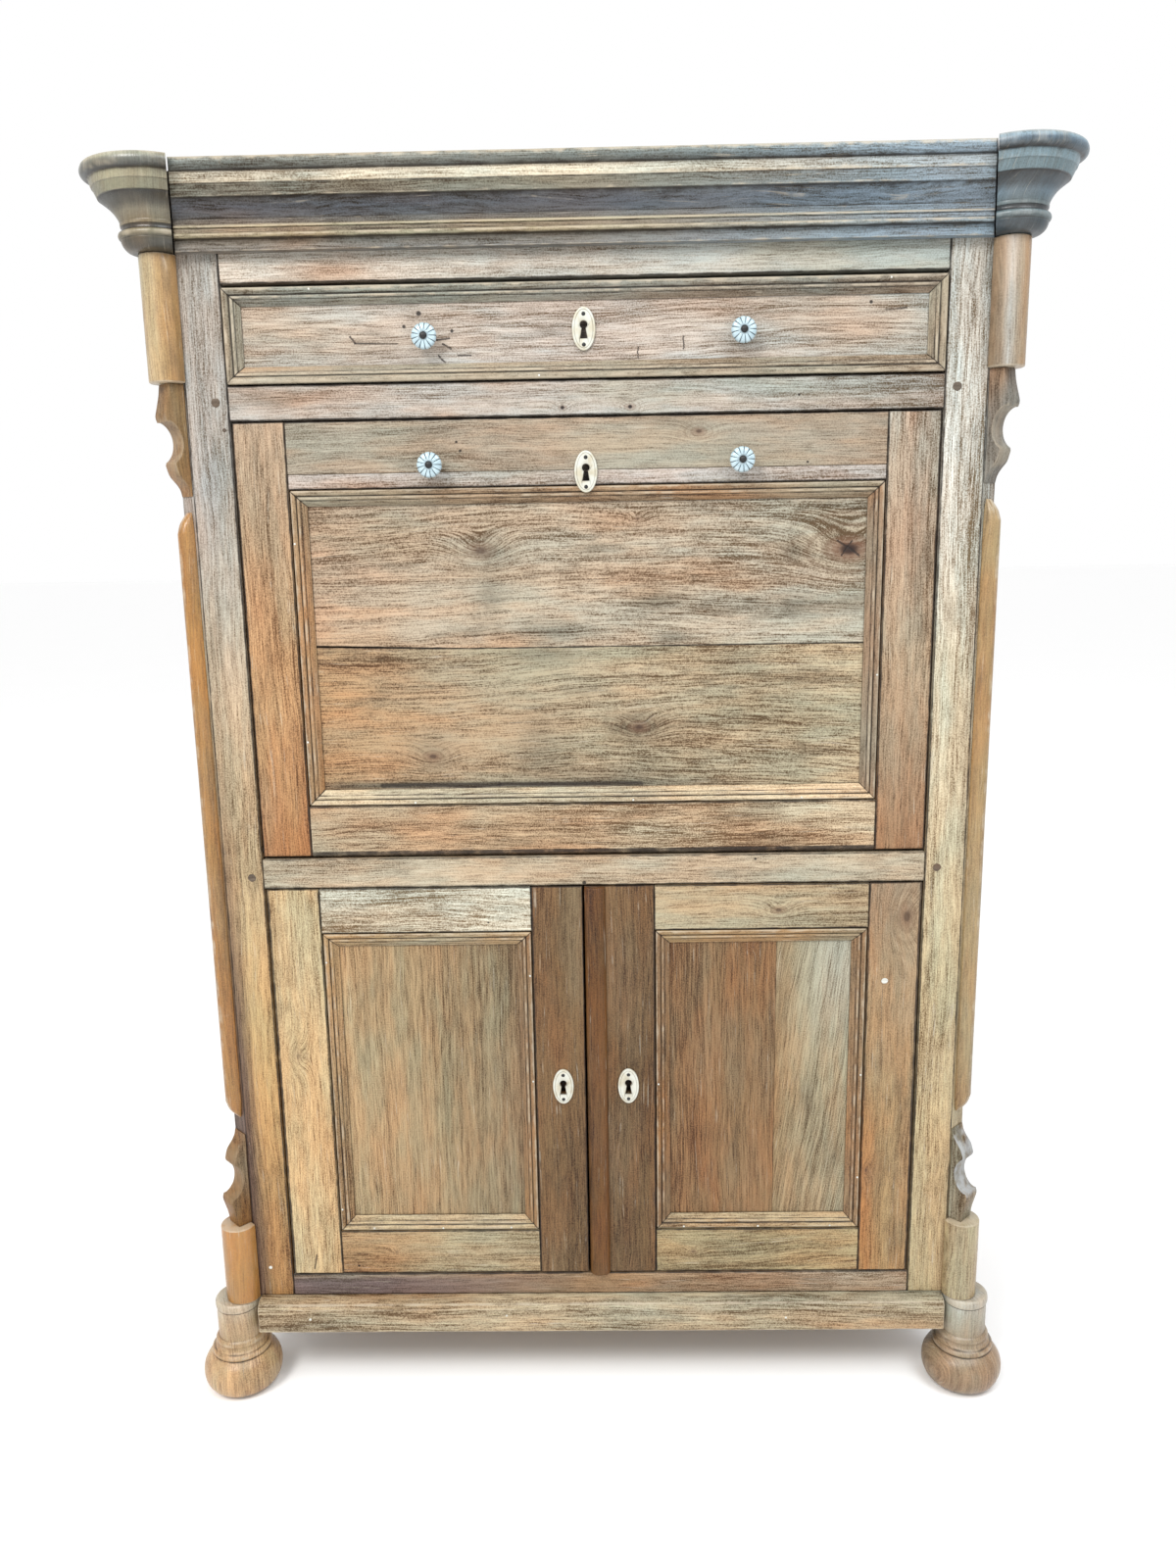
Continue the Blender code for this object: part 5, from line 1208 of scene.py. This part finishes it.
def key_plate(name, x, z, face, body, node):
    n = 96
    c = (x, z - 0.001)
    hole, lip = keyhole_points(x, z), keyhole_points(x, z, 0.0009)
    back = face - GAP
    loops = []
    # Rings of the plate (scale, height, darkness, paleness) and of the keyhole: the groove and the keyhole walls are
    # darkened, partly grime, partly painted shade.
    for fa, out, dirt, wear in ((1.0, 0.0, 0.5, 0), (1.0, 0.0014, 0.1, 0.3), (0.985, 0.0020, 0, 0.5), (0.95, 0.0024, 0, 0.2), (0.86, 0.00245, 0, 0),
                                (0.815, 0.0024, 0.25, 0), (0.795, 0.0021, 0.75, 0), (0.775, 0.0024, 0.25, 0), (0.72, 0.0025, 0, 0)):
        loops.append([(x + 0.0130 * fa * math.cos(2 * math.pi * k / n), back - out, z + 0.0230 * (1 - (1 - fa) * 0.565) * math.sin(2 * math.pi * k / n),
                       dirt, wear) for k in range(n)])
    for pts, out, dirt in ((lip, 0.0025, 0.15), (hole, 0.0021, 0.9), (hole, 0.0, 1.0)):
        row = []
        for k in range(n):
            a = 2 * math.pi * k / n
            d = key_ray(pts, a, c)
            row.append((c[0] + d * math.cos(a), back - out, c[1] + d * math.sin(a), dirt, 0.0))
        loops.append(row)
    verts = [q[:3] for row in loops for q in row]
    dirt = [q[3] for row in loops for q in row]
    wear = [q[4] for row in loops for q in row]
    faces = []
    m = len(loops)
    for r in range(m):
        for k in range(n):
            j = (k + 1) % n
            faces.append([r * n + k, r * n + j, ((r + 1) % m) * n + j, ((r + 1) % m) * n + k])
    make(name + "_plate", verts, faces, M["bone"], body, (node,), "bone", wear, dirt, 40.0)
    verts, faces = [], []
    for dz in (0.0155, -0.0168):
        rows = []
        for r, out in ((0.0021, 0.0016), (0.0022, 0.0027), (0.0017, 0.0032), (0.0009, 0.0034)):
            rows.append(list(range(len(verts), len(verts) + 16)))
            verts += [(x + r * math.cos(math.pi * k / 8), back - out, z + dz + r * math.sin(math.pi * k / 8)) for k in range(16)]
        for a, b in zip(rows, rows[1:]):
            faces += [[a[k], a[(k + 1) % 16], b[(k + 1) % 16], b[k]] for k in range(16)]
        faces += [rows[0][::-1], rows[-1]]
    make(name + "_nails", verts, faces, M["dome"], body, (), "iron", None, None, 45.0)


# Knob profile (radius, height, paleness, darkness); the darker neck against the board is painted shade.
KNOB = runs([(0.0, 0.0, 0, 0), (0.0075, 0.0, 0, 0.6)],
            [(0.0075, 0.0, 0, 0.6), (0.0071, 0.0030, 0, 0.2), (0.0061, 0.0070, 0, 0.2), (0.0066, 0.0104, 0, 0.3), (0.0105, 0.0124, 0, 0.1),
             (0.0132, 0.0143, 0, 0), (0.0140, 0.0166, 0, 0), (0.0137, 0.0186, 0, 0), (0.0123, 0.0203, 0, 0), (0.0095, 0.0214, 0, 0),
             (0.0065, 0.0219, 0, 0.05), (0.0042, 0.0221, 0, 0.5)],
            [(0.0, 0.0221, 0, 0.6)], sub=4)
DOME = [(0.0, 0.0216), (0.0040, 0.0216), (0.0040, 0.0226), (0.0037, 0.0235), (0.0030, 0.0243), (0.0020, 0.0249), (0.0010, 0.02515), (0.0, 0.0252)]
FLUTES = 13


def fluted(a, r, h, w, d):
    if r < 0.0048 or h < 0.0125:
        return r, h, w, d
    gap = (a * FLUTES / (2 * math.pi) + 0.5) % 1.0 - 0.5
    g = math.exp(-(gap / 0.085) ** 2)
    near = min(1.0, (r - 0.0048) / 0.0022)
    # Each flute groove is sunk a little and darkened as painted shade.
    return r - 0.0006 * g * near * (r / 0.014), h - 0.0010 * g * near * (1.0 if h > 0.0150 else 0.3), w, max(d, 0.98 * g * near * (1.0 if h > 0.0150 else 0.5))


def knob(name, x, face, z, body, node):
    turned(name + "_ceramic", KNOB, FLUTES * 12, lambda u, v, h: (x + u, face - GAP - h, z + v), M["ceramic"], body, (node,), "ceramic",
           alter=fluted, angle=50.0)
    turned(name + "_dome", DOME, 28, lambda u, v, h: (x + u, face - GAP - h, z + v), M["dome"], body, (), "iron", angle=50.0)


# ---------------------------------------------------------------- drawer
D = "drawer"
front = plank("drawer_front_board", (-0.3978, DRAWER_FACE, 1.2650), (0.3978, F + 0.026, 1.3665), "x", M["drawer"], D, ("drawer_front",),
              slot="wood_red")
carve(front, box_body(-0.0125, 0.0125, F + 0.0105, F + 0.0175, 1.3357, 1.3675),
      prism_body(keyhole_points(0.0, 1.3175), "y", DRAWER_FACE - 0.004, F + 0.0120))
ty0, ty1, tz0, tz1 = F + 0.0263, F + 0.400, 1.2642, 1.3480
plank("drawer_bottom", (-0.3858, ty0, tz0), (0.3858, ty1, 1.2733), "x", M["inside_x"], D, ("drawer_tray",), slot="wood_secondary", step=0.05)
plank("drawer_inner_front", (-0.3860, ty0, 1.2735), (0.3860, ty0 + 0.0112, tz1), "x", M["inside_face"], D, ("drawer_tray",), slot="wood_secondary", step=0.05)
plank("drawer_back", (-0.3860, ty1 - 0.011, 1.2735), (0.3860, ty1, tz1), "x", M["inside_face"], D, ("drawer_tray",), slot="wood_secondary", step=0.05)
for s, side in ((-1, "left"), (1, "right")):
    a, b = sorted((s * 0.375, s * 0.386))
    plank("drawer_side_" + side, (a, ty0 + 0.0113, 1.2735), (b, ty1 - 0.0111, tz1), "y", M["tray_y"], D, ("drawer_tray",), slot="wood_secondary", step=0.05)
# Drawer bead profile (inset, depth, paleness, darkness): dark quirks partly painted shade, pale crests partly painted
# highlight.
DRAWER_PROFILE = runs([(0.0002, 0.0045, 0, 0.3), (0.0002, -0.0015, 0.2, 0.2)],
                      [(0.0002, -0.0020, 0.6, 0), (0.0010, -0.0034, 0.9, 0), (0.0030, -0.0041, 0.6, 0), (0.0052, -0.0038, 0.3, 0),
                       (0.0068, -0.0028, 0.1, 0.2), (0.0077, -0.0014, 0, 0.9)],
                      [(0.0084, -0.0010, 0, 1.0), (0.0092, -0.0015, 0.5, 0.2), (0.0106, -0.0017, 0.7, 0), (0.0120, -0.0010, 0.3, 0.1), (0.0127, 0.0000, 0, 0.9)],
                      [(0.0131, 0.0001, 0, 0.6), (0.0146, 0.0010, 0.1, 0), (0.0166, 0.0028, 0.1, 0), (0.0182, 0.0043, 0.5, 0), (0.0190, 0.0048, 0.1, 0.7)],
                      [(0.0190, 0.0057, 0, 1.0), (0.0002, 0.0057, 0, 0.6)], sub=3)
frame_moulding("drawer_bead", -0.3978, 0.3978, 1.2650, 1.3665, DRAWER_PROFILE,
               (M["drawer_mould_x"], M["drawer_mould_top"], M["drawer_mould_z"], M["drawer_mould_z"]), D, "drawer_moulding")
key_plate("drawer_key", 0.0, 1.3175, DRAWER_FACE, D, "drawer_escutcheon")
for s, side in ((-1, "left"), (1, "right")):
    knob("drawer_pull_" + side, s * 0.1750, DRAWER_FACE, 1.3107, D, "drawer_knob_" + side)

# ---------------------------------------------------------------- fall
L = "fall"
R = 0.0072


def round_lower(co):
    dy, dz = F + R - co.y, FALL_Z0 + R - co.z
    if dy > 0 and dz > 0:
        d = math.hypot(dy, dz)
        if d > R:
            return Vector((co.x, F + R - dy * R / d, FALL_Z0 + R - dz * R / d))
    return co


lower = [FALL_Z0 + k for k in (0.0018, 0.0030, 0.0042, 0.0062, 0.0080)]
plank("fall_stile_left", (-0.3966, F, FALL_Z0), (-0.33825, F + 0.024, FALL_Z1), "z", M["fall_left"], L, ("fall_frame",), slot="wood_red",
      shape=round_lower, stations=lower)
plank("fall_stile_right", (0.33825, F, FALL_Z0), (0.3966, F + 0.024, FALL_Z1), "z", M["fall_right"], L, ("fall_frame",), slot="wood_red",
      shape=round_lower, stations=lower)
plank("fall_bottom_rail", (-0.33795, F, FALL_Z0), (0.33795, F + 0.024, 0.7816), "x", M["fall_bottom"], L, ("fall_frame",), slot="wood_red",
      radii={0: R})
rail = plank("fall_top_rail", (-0.33795, F, 1.1668), (0.33795, F + 0.024, FALL_Z1), "x", M["fall_top"], L, ("fall_frame",), slot="wood", r=0.0008, marks={0: 0.3})
carve(rail, box_body(-0.0125, 0.0125, F + 0.0085, F + 0.0155, 1.1938, FALL_Z1 + 0.001),
      prism_body(keyhole_points(0.0, 1.1645), "y", F - 0.004, F + 0.0120))
strip = plank("fall_strip", (-0.33795, F + 0.0003, 1.1503), (0.33795, F + 0.024, 1.1666), "x", M["fall_strip"], L, ("fall_frame",), slot="wood", r=0.0008,
              marks={3: 0.3})
carve(strip, prism_body(keyhole_points(0.0, 1.1645), "y", F - 0.004, F + 0.0120))


def split_line(x):
    """The shake between the two boards of the fall panel: height of its middle and half its opening."""
    f = min(1.0, max(0.0, (x + 0.3436) / 0.196))
    return 0.9722 - 0.0053 * f, 0.00085 * (1.0 - f) ** 0.8 + 0.00002


def upper_edge(co):
    if co.z < 0.9722 + 0.004:
        z, half = split_line(co.x)
        return Vector((co.x, co.y, co.z - 0.9722 + z + half))
    return co


def lower_edge(co):
    if co.z > 0.9722 - 0.004:
        z, half = split_line(co.x)
        return Vector((co.x, co.y, co.z - 0.9722 + z - half))
    return co


P = 0.0056
py0, py1 = F + 0.0103, F + 0.0187
# Darkening on the panel next to the beads: painted shadow under the top bead; by the bottom bead a dark band, partly
# dirt, partly painted shade.
dirt_and_shade_by_bottom_bead = lambda co: max(0.0, 1.0 - abs(co.z - 0.8012) / 0.006) * 0.9 if co.y < py0 + 0.001 else 0.0
shade_under_top_bead = lambda co: max(0.0, 1.0 - abs(co.z - 1.1312) / 0.004) * 0.5 if co.y < py0 + 0.001 else 0.0
plank("fall_panel_upper", (-0.338 - P, py0, 0.9722), (0.338 + P, py1, 1.1503 + P), "x", M["fall_panel_hi"], L, ("fall_panel",), slot="wood",
      r=0.0004, shape=upper_edge, dirt_of=shade_under_top_bead, wob=0.0003)
plank("fall_panel_lower", (-0.338 - P, py0, 0.7816 - P), (0.338 + P, py1, 0.9722), "x", M["fall_panel_lo"], L, ("fall_panel",), slot="wood",
      r=0.0004, shape=lower_edge, dirt_of=dirt_and_shade_by_bottom_bead, wob=0.0003)


def panel_profile(depth):
    """Bead, quirk, small bead, then a slope down to the panel; the quirks are darkened, partly as painted shade, and
    the crests paled, partly as painted highlight.
    """
    return runs([(0.0009, depth, 0, 1.0), (0.0009, 0.0024, 0.1, 0.9)],
                [(0.0010, 0.0018, 0.4, 0.4), (0.0018, 0.0008, 0.9, 0), (0.0032, 0.0004, 0.5, 0), (0.0048, 0.0006, 0.3, 0),
                 (0.0062, 0.0014, 0.1, 0.2), (0.0070, 0.0026, 0, 0.9)],
                [(0.0076, 0.0031, 0, 1.0), (0.0084, 0.0027, 0.4, 0.2), (0.0098, 0.0024, 0.7, 0), (0.0112, 0.0028, 0.3, 0), (0.0121, 0.0038, 0, 0.9)],
                [(0.0126, 0.0040, 0, 0.6), (0.0142, 0.0048, 0.2, 0), (0.0160, 0.0062, 0.1, 0), (0.0176, depth - 0.0021, 0.4, 0), (0.0185, depth - 0.0012, 0.2, 0.7)],
                [(0.0185, depth, 0, 1.0)], sub=3)


frame_moulding("fall_bead", -0.3377, 0.3377, 0.7819, 1.1500, panel_profile(0.0099),
               (M["fall_mould_bottom"], M["fall_mould_top"], M["fall_mould_left"], M["fall_mould_right"]), L, "fall_moulding")
for s, side in ((-1, "left"), (1, "right")):
    knob("fall_pull_" + side, s * 0.1740, F, 1.1737, L, "fall_knob_" + side)
key_plate("fall_key", 0.0, 1.1645, F, L, "fall_escutcheon")


def pins(name, parts, body):
    """Short turned pivot pins; parts are (centre, axis, radius, from, to)."""
    verts, faces = [], []
    for c, along, r, lo, hi in parts:
        segs = 20
        put = ALONG[along]
        base = len(verts)
        rows = ((lo, 0.8 * r), (lo + 0.0008, r), (hi - 0.0008, r), (hi, 0.8 * r))
        for t, rr in rows:
            verts += [put(c[0] + rr * math.cos(2 * math.pi * k / segs), c[1] + rr * math.sin(2 * math.pi * k / segs), t) for k in range(segs)]
        for q in range(3):
            faces += [[base + q * segs + k, base + q * segs + (k + 1) % segs, base + (q + 1) * segs + (k + 1) % segs, base + (q + 1) * segs + k]
                      for k in range(segs)]
        faces += [[base + k for k in range(segs)], [base + 3 * segs + k for k in range(segs)]]
    return make(name, verts, faces, M["iron"], body, (), "iron", None, None, 40.0)


pins("fall_pivot_pins", [(FALL_AXIS, "x", 0.0042, 0.3970, 0.4050), (FALL_AXIS, "x", 0.0042, -0.4050, -0.3970)], L)

# ---------------------------------------------------------------- doors
DOORS = {"left": (-1, -0.0125, (-0.3328, -0.0752), "door_left"), "right": (1, -0.0105, (0.0745, 0.3340), "door_right")}
for side, (s, seam, (x0, x1), body) in DOORS.items():
    key = "dl" if side == "left" else "dr"
    frame_node = f"door_{side}_frame"
    cx = s * 0.0408
    if s < 0:
        outer = plank("left_door_outer_stile", (-0.3976, F, DOOR_Z0), (x0 - 0.0002, F + 0.022, DOOR_Z1), "z", M["dl_left"], body, (frame_node,),
                      radii={0: 0.003})
        inner = plank("left_door_inner_stile", (x1 + 0.0002, F, DOOR_Z0), (seam, F + 0.022, DOOR_Z1), "z", M["dl_right"], body, (frame_node,))
        carve(inner, box_body(-0.0195, seam + 0.001, F + 0.0078, F + 0.0152, 0.4191 - 0.0135, 0.4191 + 0.0135),
              prism_body(keyhole_points(cx, 0.4191), "y", F - 0.004, F + 0.0120))
    else:
        outer = plank("right_door_outer_stile", (x1 + 0.0002, F, DOOR_Z0), (0.3976, F + 0.022, DOOR_Z1), "z", M["dr_right"], body, (frame_node,),
                      radii={1: 0.003})
        inner = plank("right_door_inner_stile", (seam, F, DOOR_Z0), (x0 - 0.0002, F + 0.022, DOOR_Z1), "z", M["dr_left"], body, (frame_node,))
        carve(inner, box_body(seam - 0.001, 0.0250, F + 0.0080, F + 0.0150, 0.4191 - 0.0125, 0.4191 + 0.0125),
              prism_body(keyhole_points(cx, 0.4191), "y", F - 0.004, F + 0.0120))
    plank(side + "_door_top_rail", (x0 + 0.0001, F + 0.0002, 0.6225), (x1 - 0.0001, F + 0.022, DOOR_Z1), "x", M[key + "_top"], body, (frame_node,))
    plank(side + "_door_bottom_rail", (x0 + 0.0001, F + 0.0002, DOOR_Z0), (x1 - 0.0001, F + 0.022, 0.2190), "x", M[key + "_bottom"], body, (frame_node,))
    dz0, dz1, dy0, dy1 = 0.2190 - P, 0.6225 + P, F + 0.0093, F + 0.0167
    # Darkening on the door panel along the top and bottom beads: partly dirt, partly painted shade, with a painted
    # shadow under the top bead.
    rim = lambda co: max(max(0.0, 1 - abs(co.z - 0.2385) / 0.004), max(0.0, 1 - abs(co.z - 0.6030) / 0.004)) * 0.5 if co.y < F + 0.0105 else 0.0
    if s < 0:
        plank("left_door_panel_board", (x0 - P, dy0, dz0), (x1 + P, dy1, dz1), "z", M["dl_panel"], body, (f"door_{side}_panel",), r=0.0005, dirt_of=rim)
    else:
        plank("right_door_panel_board_1", (x0 - P, dy0, dz0), (0.2242, dy1, dz1), "z", M["dr_panel_a"], body, (f"door_{side}_panel",), r=0.0003,
              marks={1: 0.12}, dirt_of=rim)
        plank("right_door_panel_board_2", (0.2244, dy0, dz0), (x1 + P, dy1, dz1), "z", M["dr_panel_b"], body, (f"door_{side}_panel",), r=0.0003,
              marks={0: 0.12}, dirt_of=rim)
    frame_moulding(side + "_door_bead", x0 + GAP, x1 - GAP, 0.2193, 0.6222, panel_profile(0.0089),
                   (M[key + "_mould_x"], M[key + "_mould_top"], M[key + "_mould_left"], M[key + "_mould_right"]), body, f"door_{side}_moulding")
    key_plate(side + "_door_key", cx, 0.4191, F, body, f"door_{side}_escutcheon")
    pins(side + "_door_pivot_pins", [((s * 0.3896, F + 0.006), "z", 0.0038, DOOR_Z1 + 0.0002, 0.6885),
                                     ((s * 0.3896, F + 0.006), "z", 0.0038, 0.1495, DOOR_Z0 - 0.0002)], body)

pts = [(0.00235 + 0.01285 * math.cos(math.pi * k / 24), F - GAP - 0.0100 * math.sin(math.pi * k / 24), 0.35 if 9 < k < 15 else 0.0) for k in range(25)]
pts += [(0.00235 - 0.01285 + 0.0257 * k / 4, F - GAP, 0.0) for k in range(1, 4)]
pts = pts[::-1] if sum(a[0] * b[1] - b[0] * a[1] for a, b in zip(pts, pts[1:] + pts[:1])) < 0 else pts
bar("astragal", None, (DOOR_Z0, DOOR_Z1 - 0.0002), ALONG["z"], M["astragal"], "door_right", ("door_astragal",), slot="wood_red", points=pts,
    angle=40.0, end=0.0014, edge_wear=0.5, edge_dirt=0.3)

dots("drawer_fills", [(-0.30, F - 0.0040, 1.3630, 0.0011), (0.335, F - 0.0040, 1.3628, 0.0011), (-0.05, F - 0.0040, 1.2684, 0.0011)],
     M["fill"], D, "wood_pale", 0.0003)
dots("fall_fills", [(-0.3346, F + 0.0005, 1.09, 0.0012), (-0.3344, F + 0.0005, 0.86, 0.0012), (0.3345, F + 0.0005, 0.93, 0.0011),
                    (-0.21, F + 0.0005, 0.7851, 0.0012), (0.05, F + 0.0005, 0.7850, 0.0012), (0.25, F + 0.0005, 0.7852, 0.0011)],
     M["fill"], L, "wood_pale", 0.0003)
dots("left_door_fills", [(-0.289, F + 0.0005, 0.2228, 0.0013), (-0.2, F + 0.0005, 0.2226, 0.0012), (-0.112, F + 0.0005, 0.2229, 0.0013),
                         (-0.3292, F + 0.0005, 0.585, 0.0012), (-0.3290, F + 0.0005, 0.25, 0.0012), (-0.0788, F + 0.0005, 0.565, 0.0012),
                         (-0.0786, F + 0.0005, 0.425, 0.0012)], M["fill"], "door_left", "wood_pale", 0.0003)
dots("right_door_fills", [(0.110, F + 0.0005, 0.2228, 0.0012), (0.205, F + 0.0005, 0.2227, 0.0013), (0.297, F + 0.0005, 0.2228, 0.0012),
                          (0.0784, F + 0.0005, 0.42, 0.0011), (0.3303, F + 0.0005, 0.43, 0.0012), (0.3302, F + 0.0005, 0.29, 0.0012)],
     M["fill"], "door_right", "wood_pale", 0.0003)
dots("right_door_plug", [(0.3560, F, 0.5540, 0.0034)], M["fill"], "door_right", "wood_pale", 0.0005, 1.2)

# ---------------------------------------------------------------- writing compartment
UY0, UB = F + 0.200, 0.2434
UNIT = ("pigeonhole_unit",)
plank("unit_bottom", (-0.380, UY0, 0.7425), (0.380, UB, 0.7525), "x", M["inside_x"], CAR, UNIT, slot="wood_secondary", step=0.06)
plank("unit_shelf", (-0.3697, UY0, 0.8425), (0.3697, 0.2335, 0.8525), "x", M["inside_face"], CAR, UNIT, slot="wood_secondary", step=0.06)
plank("unit_top", (-0.380, UY0, 1.0325), (0.380, UB, 1.0425), "x", M["inside_x"], CAR, UNIT, slot="wood_secondary", step=0.06)
plank("unit_back", (-0.380, 0.2337, 0.7527), (0.380, UB, 1.0323), "x", M["inside_face"], CAR, UNIT, slot="wood_secondary", step=0.06)
for s, side in ((-1, "left"), (1, "right")):
    a, b = sorted((s * 0.370, s * 0.380))
    plank("unit_side_" + side, (a, UY0, 0.7527), (b, 0.2335, 1.0323), "z", M["inside_z"], CAR, UNIT, slot="wood_secondary", step=0.06)
    a, b = sorted((s * 0.1825, s * 0.1925))
    plank("unit_divider_" + side, (a, UY0 + 0.002, 0.8527), (b, 0.2335, 1.0323), "z", M["inside_z"], CAR, UNIT, slot="wood_secondary", step=0.06)
plank("unit_centre_lower", (-0.005, UY0, 0.7527), (0.005, 0.2335, 0.8423), "z", M["inside_z"], CAR, UNIT, slot="wood_secondary", step=0.06)
plank("unit_centre_upper", (-0.005, UY0, 0.8527), (0.005, 0.2335, 1.0323), "z", M["inside_z"], CAR, UNIT, slot="wood_secondary", step=0.06)
SMALL = runs([(0.0, -0.001, 0, 0), (0.0048, -0.001, 0, 0.5)],
             [(0.0048, 0.0, 0, 0.6), (0.0041, 0.0030, 0, 0.2), (0.0046, 0.0060, 0, 0), (0.0073, 0.0088, 0.2, 0), (0.0080, 0.0115, 0.3, 0),
              (0.0070, 0.0141, 0.4, 0), (0.0040, 0.0156, 0.4, 0), (0.0015, 0.0160, 0.3, 0)], [(0.0, 0.0160, 0.3, 0)], sub=3)
for s, side in ((-1, "left"), (1, "right")):
    body, node = "inner_" + side, ("inner_drawer_" + side,)
    x0, x1 = sorted((s * 0.0056, s * 0.3694))
    y0 = UY0 + GAP
    plank(f"small_drawer_front_{side}", (x0, y0, 0.7531), (x1, y0 + 0.0118, 0.8419), "x", M["inside_face"], body, node, slot="wood_pale")
    plank(f"small_drawer_bottom_{side}", (x0, y0 + 0.012, 0.7531), (x1, 0.2280, 0.7604), "x", M["inside_x"], body, node, slot="wood_pale", step=0.06)
    plank(f"small_drawer_back_{side}", (x0, 0.2202, 0.7606), (x1, 0.2280, 0.8419), "x", M["inside_face"], body, node, slot="wood_pale", step=0.06)
    for a, b, e in ((x0, x0 + 0.008, "a"), (x1 - 0.008, x1, "b")):
        plank(f"small_drawer_side_{side}_{e}", (a, y0 + 0.012, 0.7606), (b, 0.2200, 0.8419), "y", M["tray_y"], body, node, slot="wood_pale", step=0.06)
    turned(f"small_drawer_knob_{side}", SMALL, 32, lambda u, v, h, m=(x0 + x1) / 2, y=y0: (m + u, y - h, 0.7975 + v), M["peg"], body, node, "wood")

# metal nodes keep their own shape, with eased edges
for node, mat in (("fall_stay_left", "brass"), ("fall_stay_right", "brass"), ("drawer_lock_bolt", "steel"), ("fall_lock_bolt", "steel"),
                  ("door_lock_bolt", "steel")):
    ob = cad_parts[node]
    ob.data.materials.clear()
    ob.data.materials.append(M[mat])
    mod = ob.modifiers.new("eased", "BEVEL")
    mod.width = 0.0005
    mod.segments = 2
    mod.limit_method = "ANGLE"
    mod.angle_limit = math.radians(40)

# ---------------------------------------------------------------- floor, light and camera
g = Graph("floor_paint")
x, y, z = g.xyz()
cloud = g.noise(g.vec(g.mul(x, 2.0), g.mul(y, 2.0), z), 2.0)
floor_mat = g.finish(g.mix(cloud, (0.975, 0.975, 0.975, 1.0), (0.985, 0.985, 0.985, 1.0)), g.madd(cloud, 0.1, 0.75), None, spec=0.1)
me = bpy.data.meshes.new("floor")
size, n = 40.0, 8
me.from_pydata([(-size + 2 * size * i / n, -size + 2 * size * j / n, 0.0) for j in range(n + 1) for i in range(n + 1)], [],
               [[j * (n + 1) + i, j * (n + 1) + i + 1, (j + 1) * (n + 1) + i + 1, (j + 1) * (n + 1) + i] for j in range(n) for i in range(n)])
me.materials.append(floor_mat)
floor = bpy.data.objects.new("floor", me)
floor.location = (0, 0, -0.0004)
scene.collection.objects.link(floor)

world = bpy.data.worlds.new("studio")
scene.world = world
world.use_nodes = True
world.node_tree.nodes["Background"].inputs["Color"].default_value = (1.0, 1.0, 1.0, 1.0)
world.node_tree.nodes["Background"].inputs["Strength"].default_value = 1.0


def area_light(name, at, to, size, power, colour):
    data = bpy.data.lights.new(name, "AREA")
    data.shape = "DISK"
    data.size = size
    data.energy = power
    data.color = colour
    ob = bpy.data.objects.new(name, data)
    ob.location = at
    ob.rotation_euler = (Vector(to) - Vector(at)).to_track_quat("-Z", "Y").to_euler()
    scene.collection.objects.link(ob)
    return ob


area_light("key", (-1.3, -2.3, 2.9), (0.0, 0.0, 0.85), 1.2, 70.0, (1.0, 0.985, 0.96))
area_light("sky", (1.2, -1.7, 3.2), (0.1, 0.0, 1.0), 1.8, 50.0, (0.88, 0.95, 1.0))

cam = bpy.data.cameras.new("camera")
cam.lens = 27.045
cam.sensor_width = 36.0
cam.sensor_fit = "AUTO"
cam.clip_start = 0.05
cam.clip_end = 200.0
camera = bpy.data.objects.new("camera", cam)
right, up, back = Vector((0.99976385, 0.01405103, -0.01657769)), Vector((0.01341015, 0.20137802, 0.9794218)), Vector((0.01710027, -0.97941282, 0.20114203))
m = Matrix((right, up, back)).transposed().to_4x4()
m.translation = (0.020348, -1.558848, 1.086674)
camera.matrix_world = m
scene.collection.objects.link(camera)
scene.camera = camera
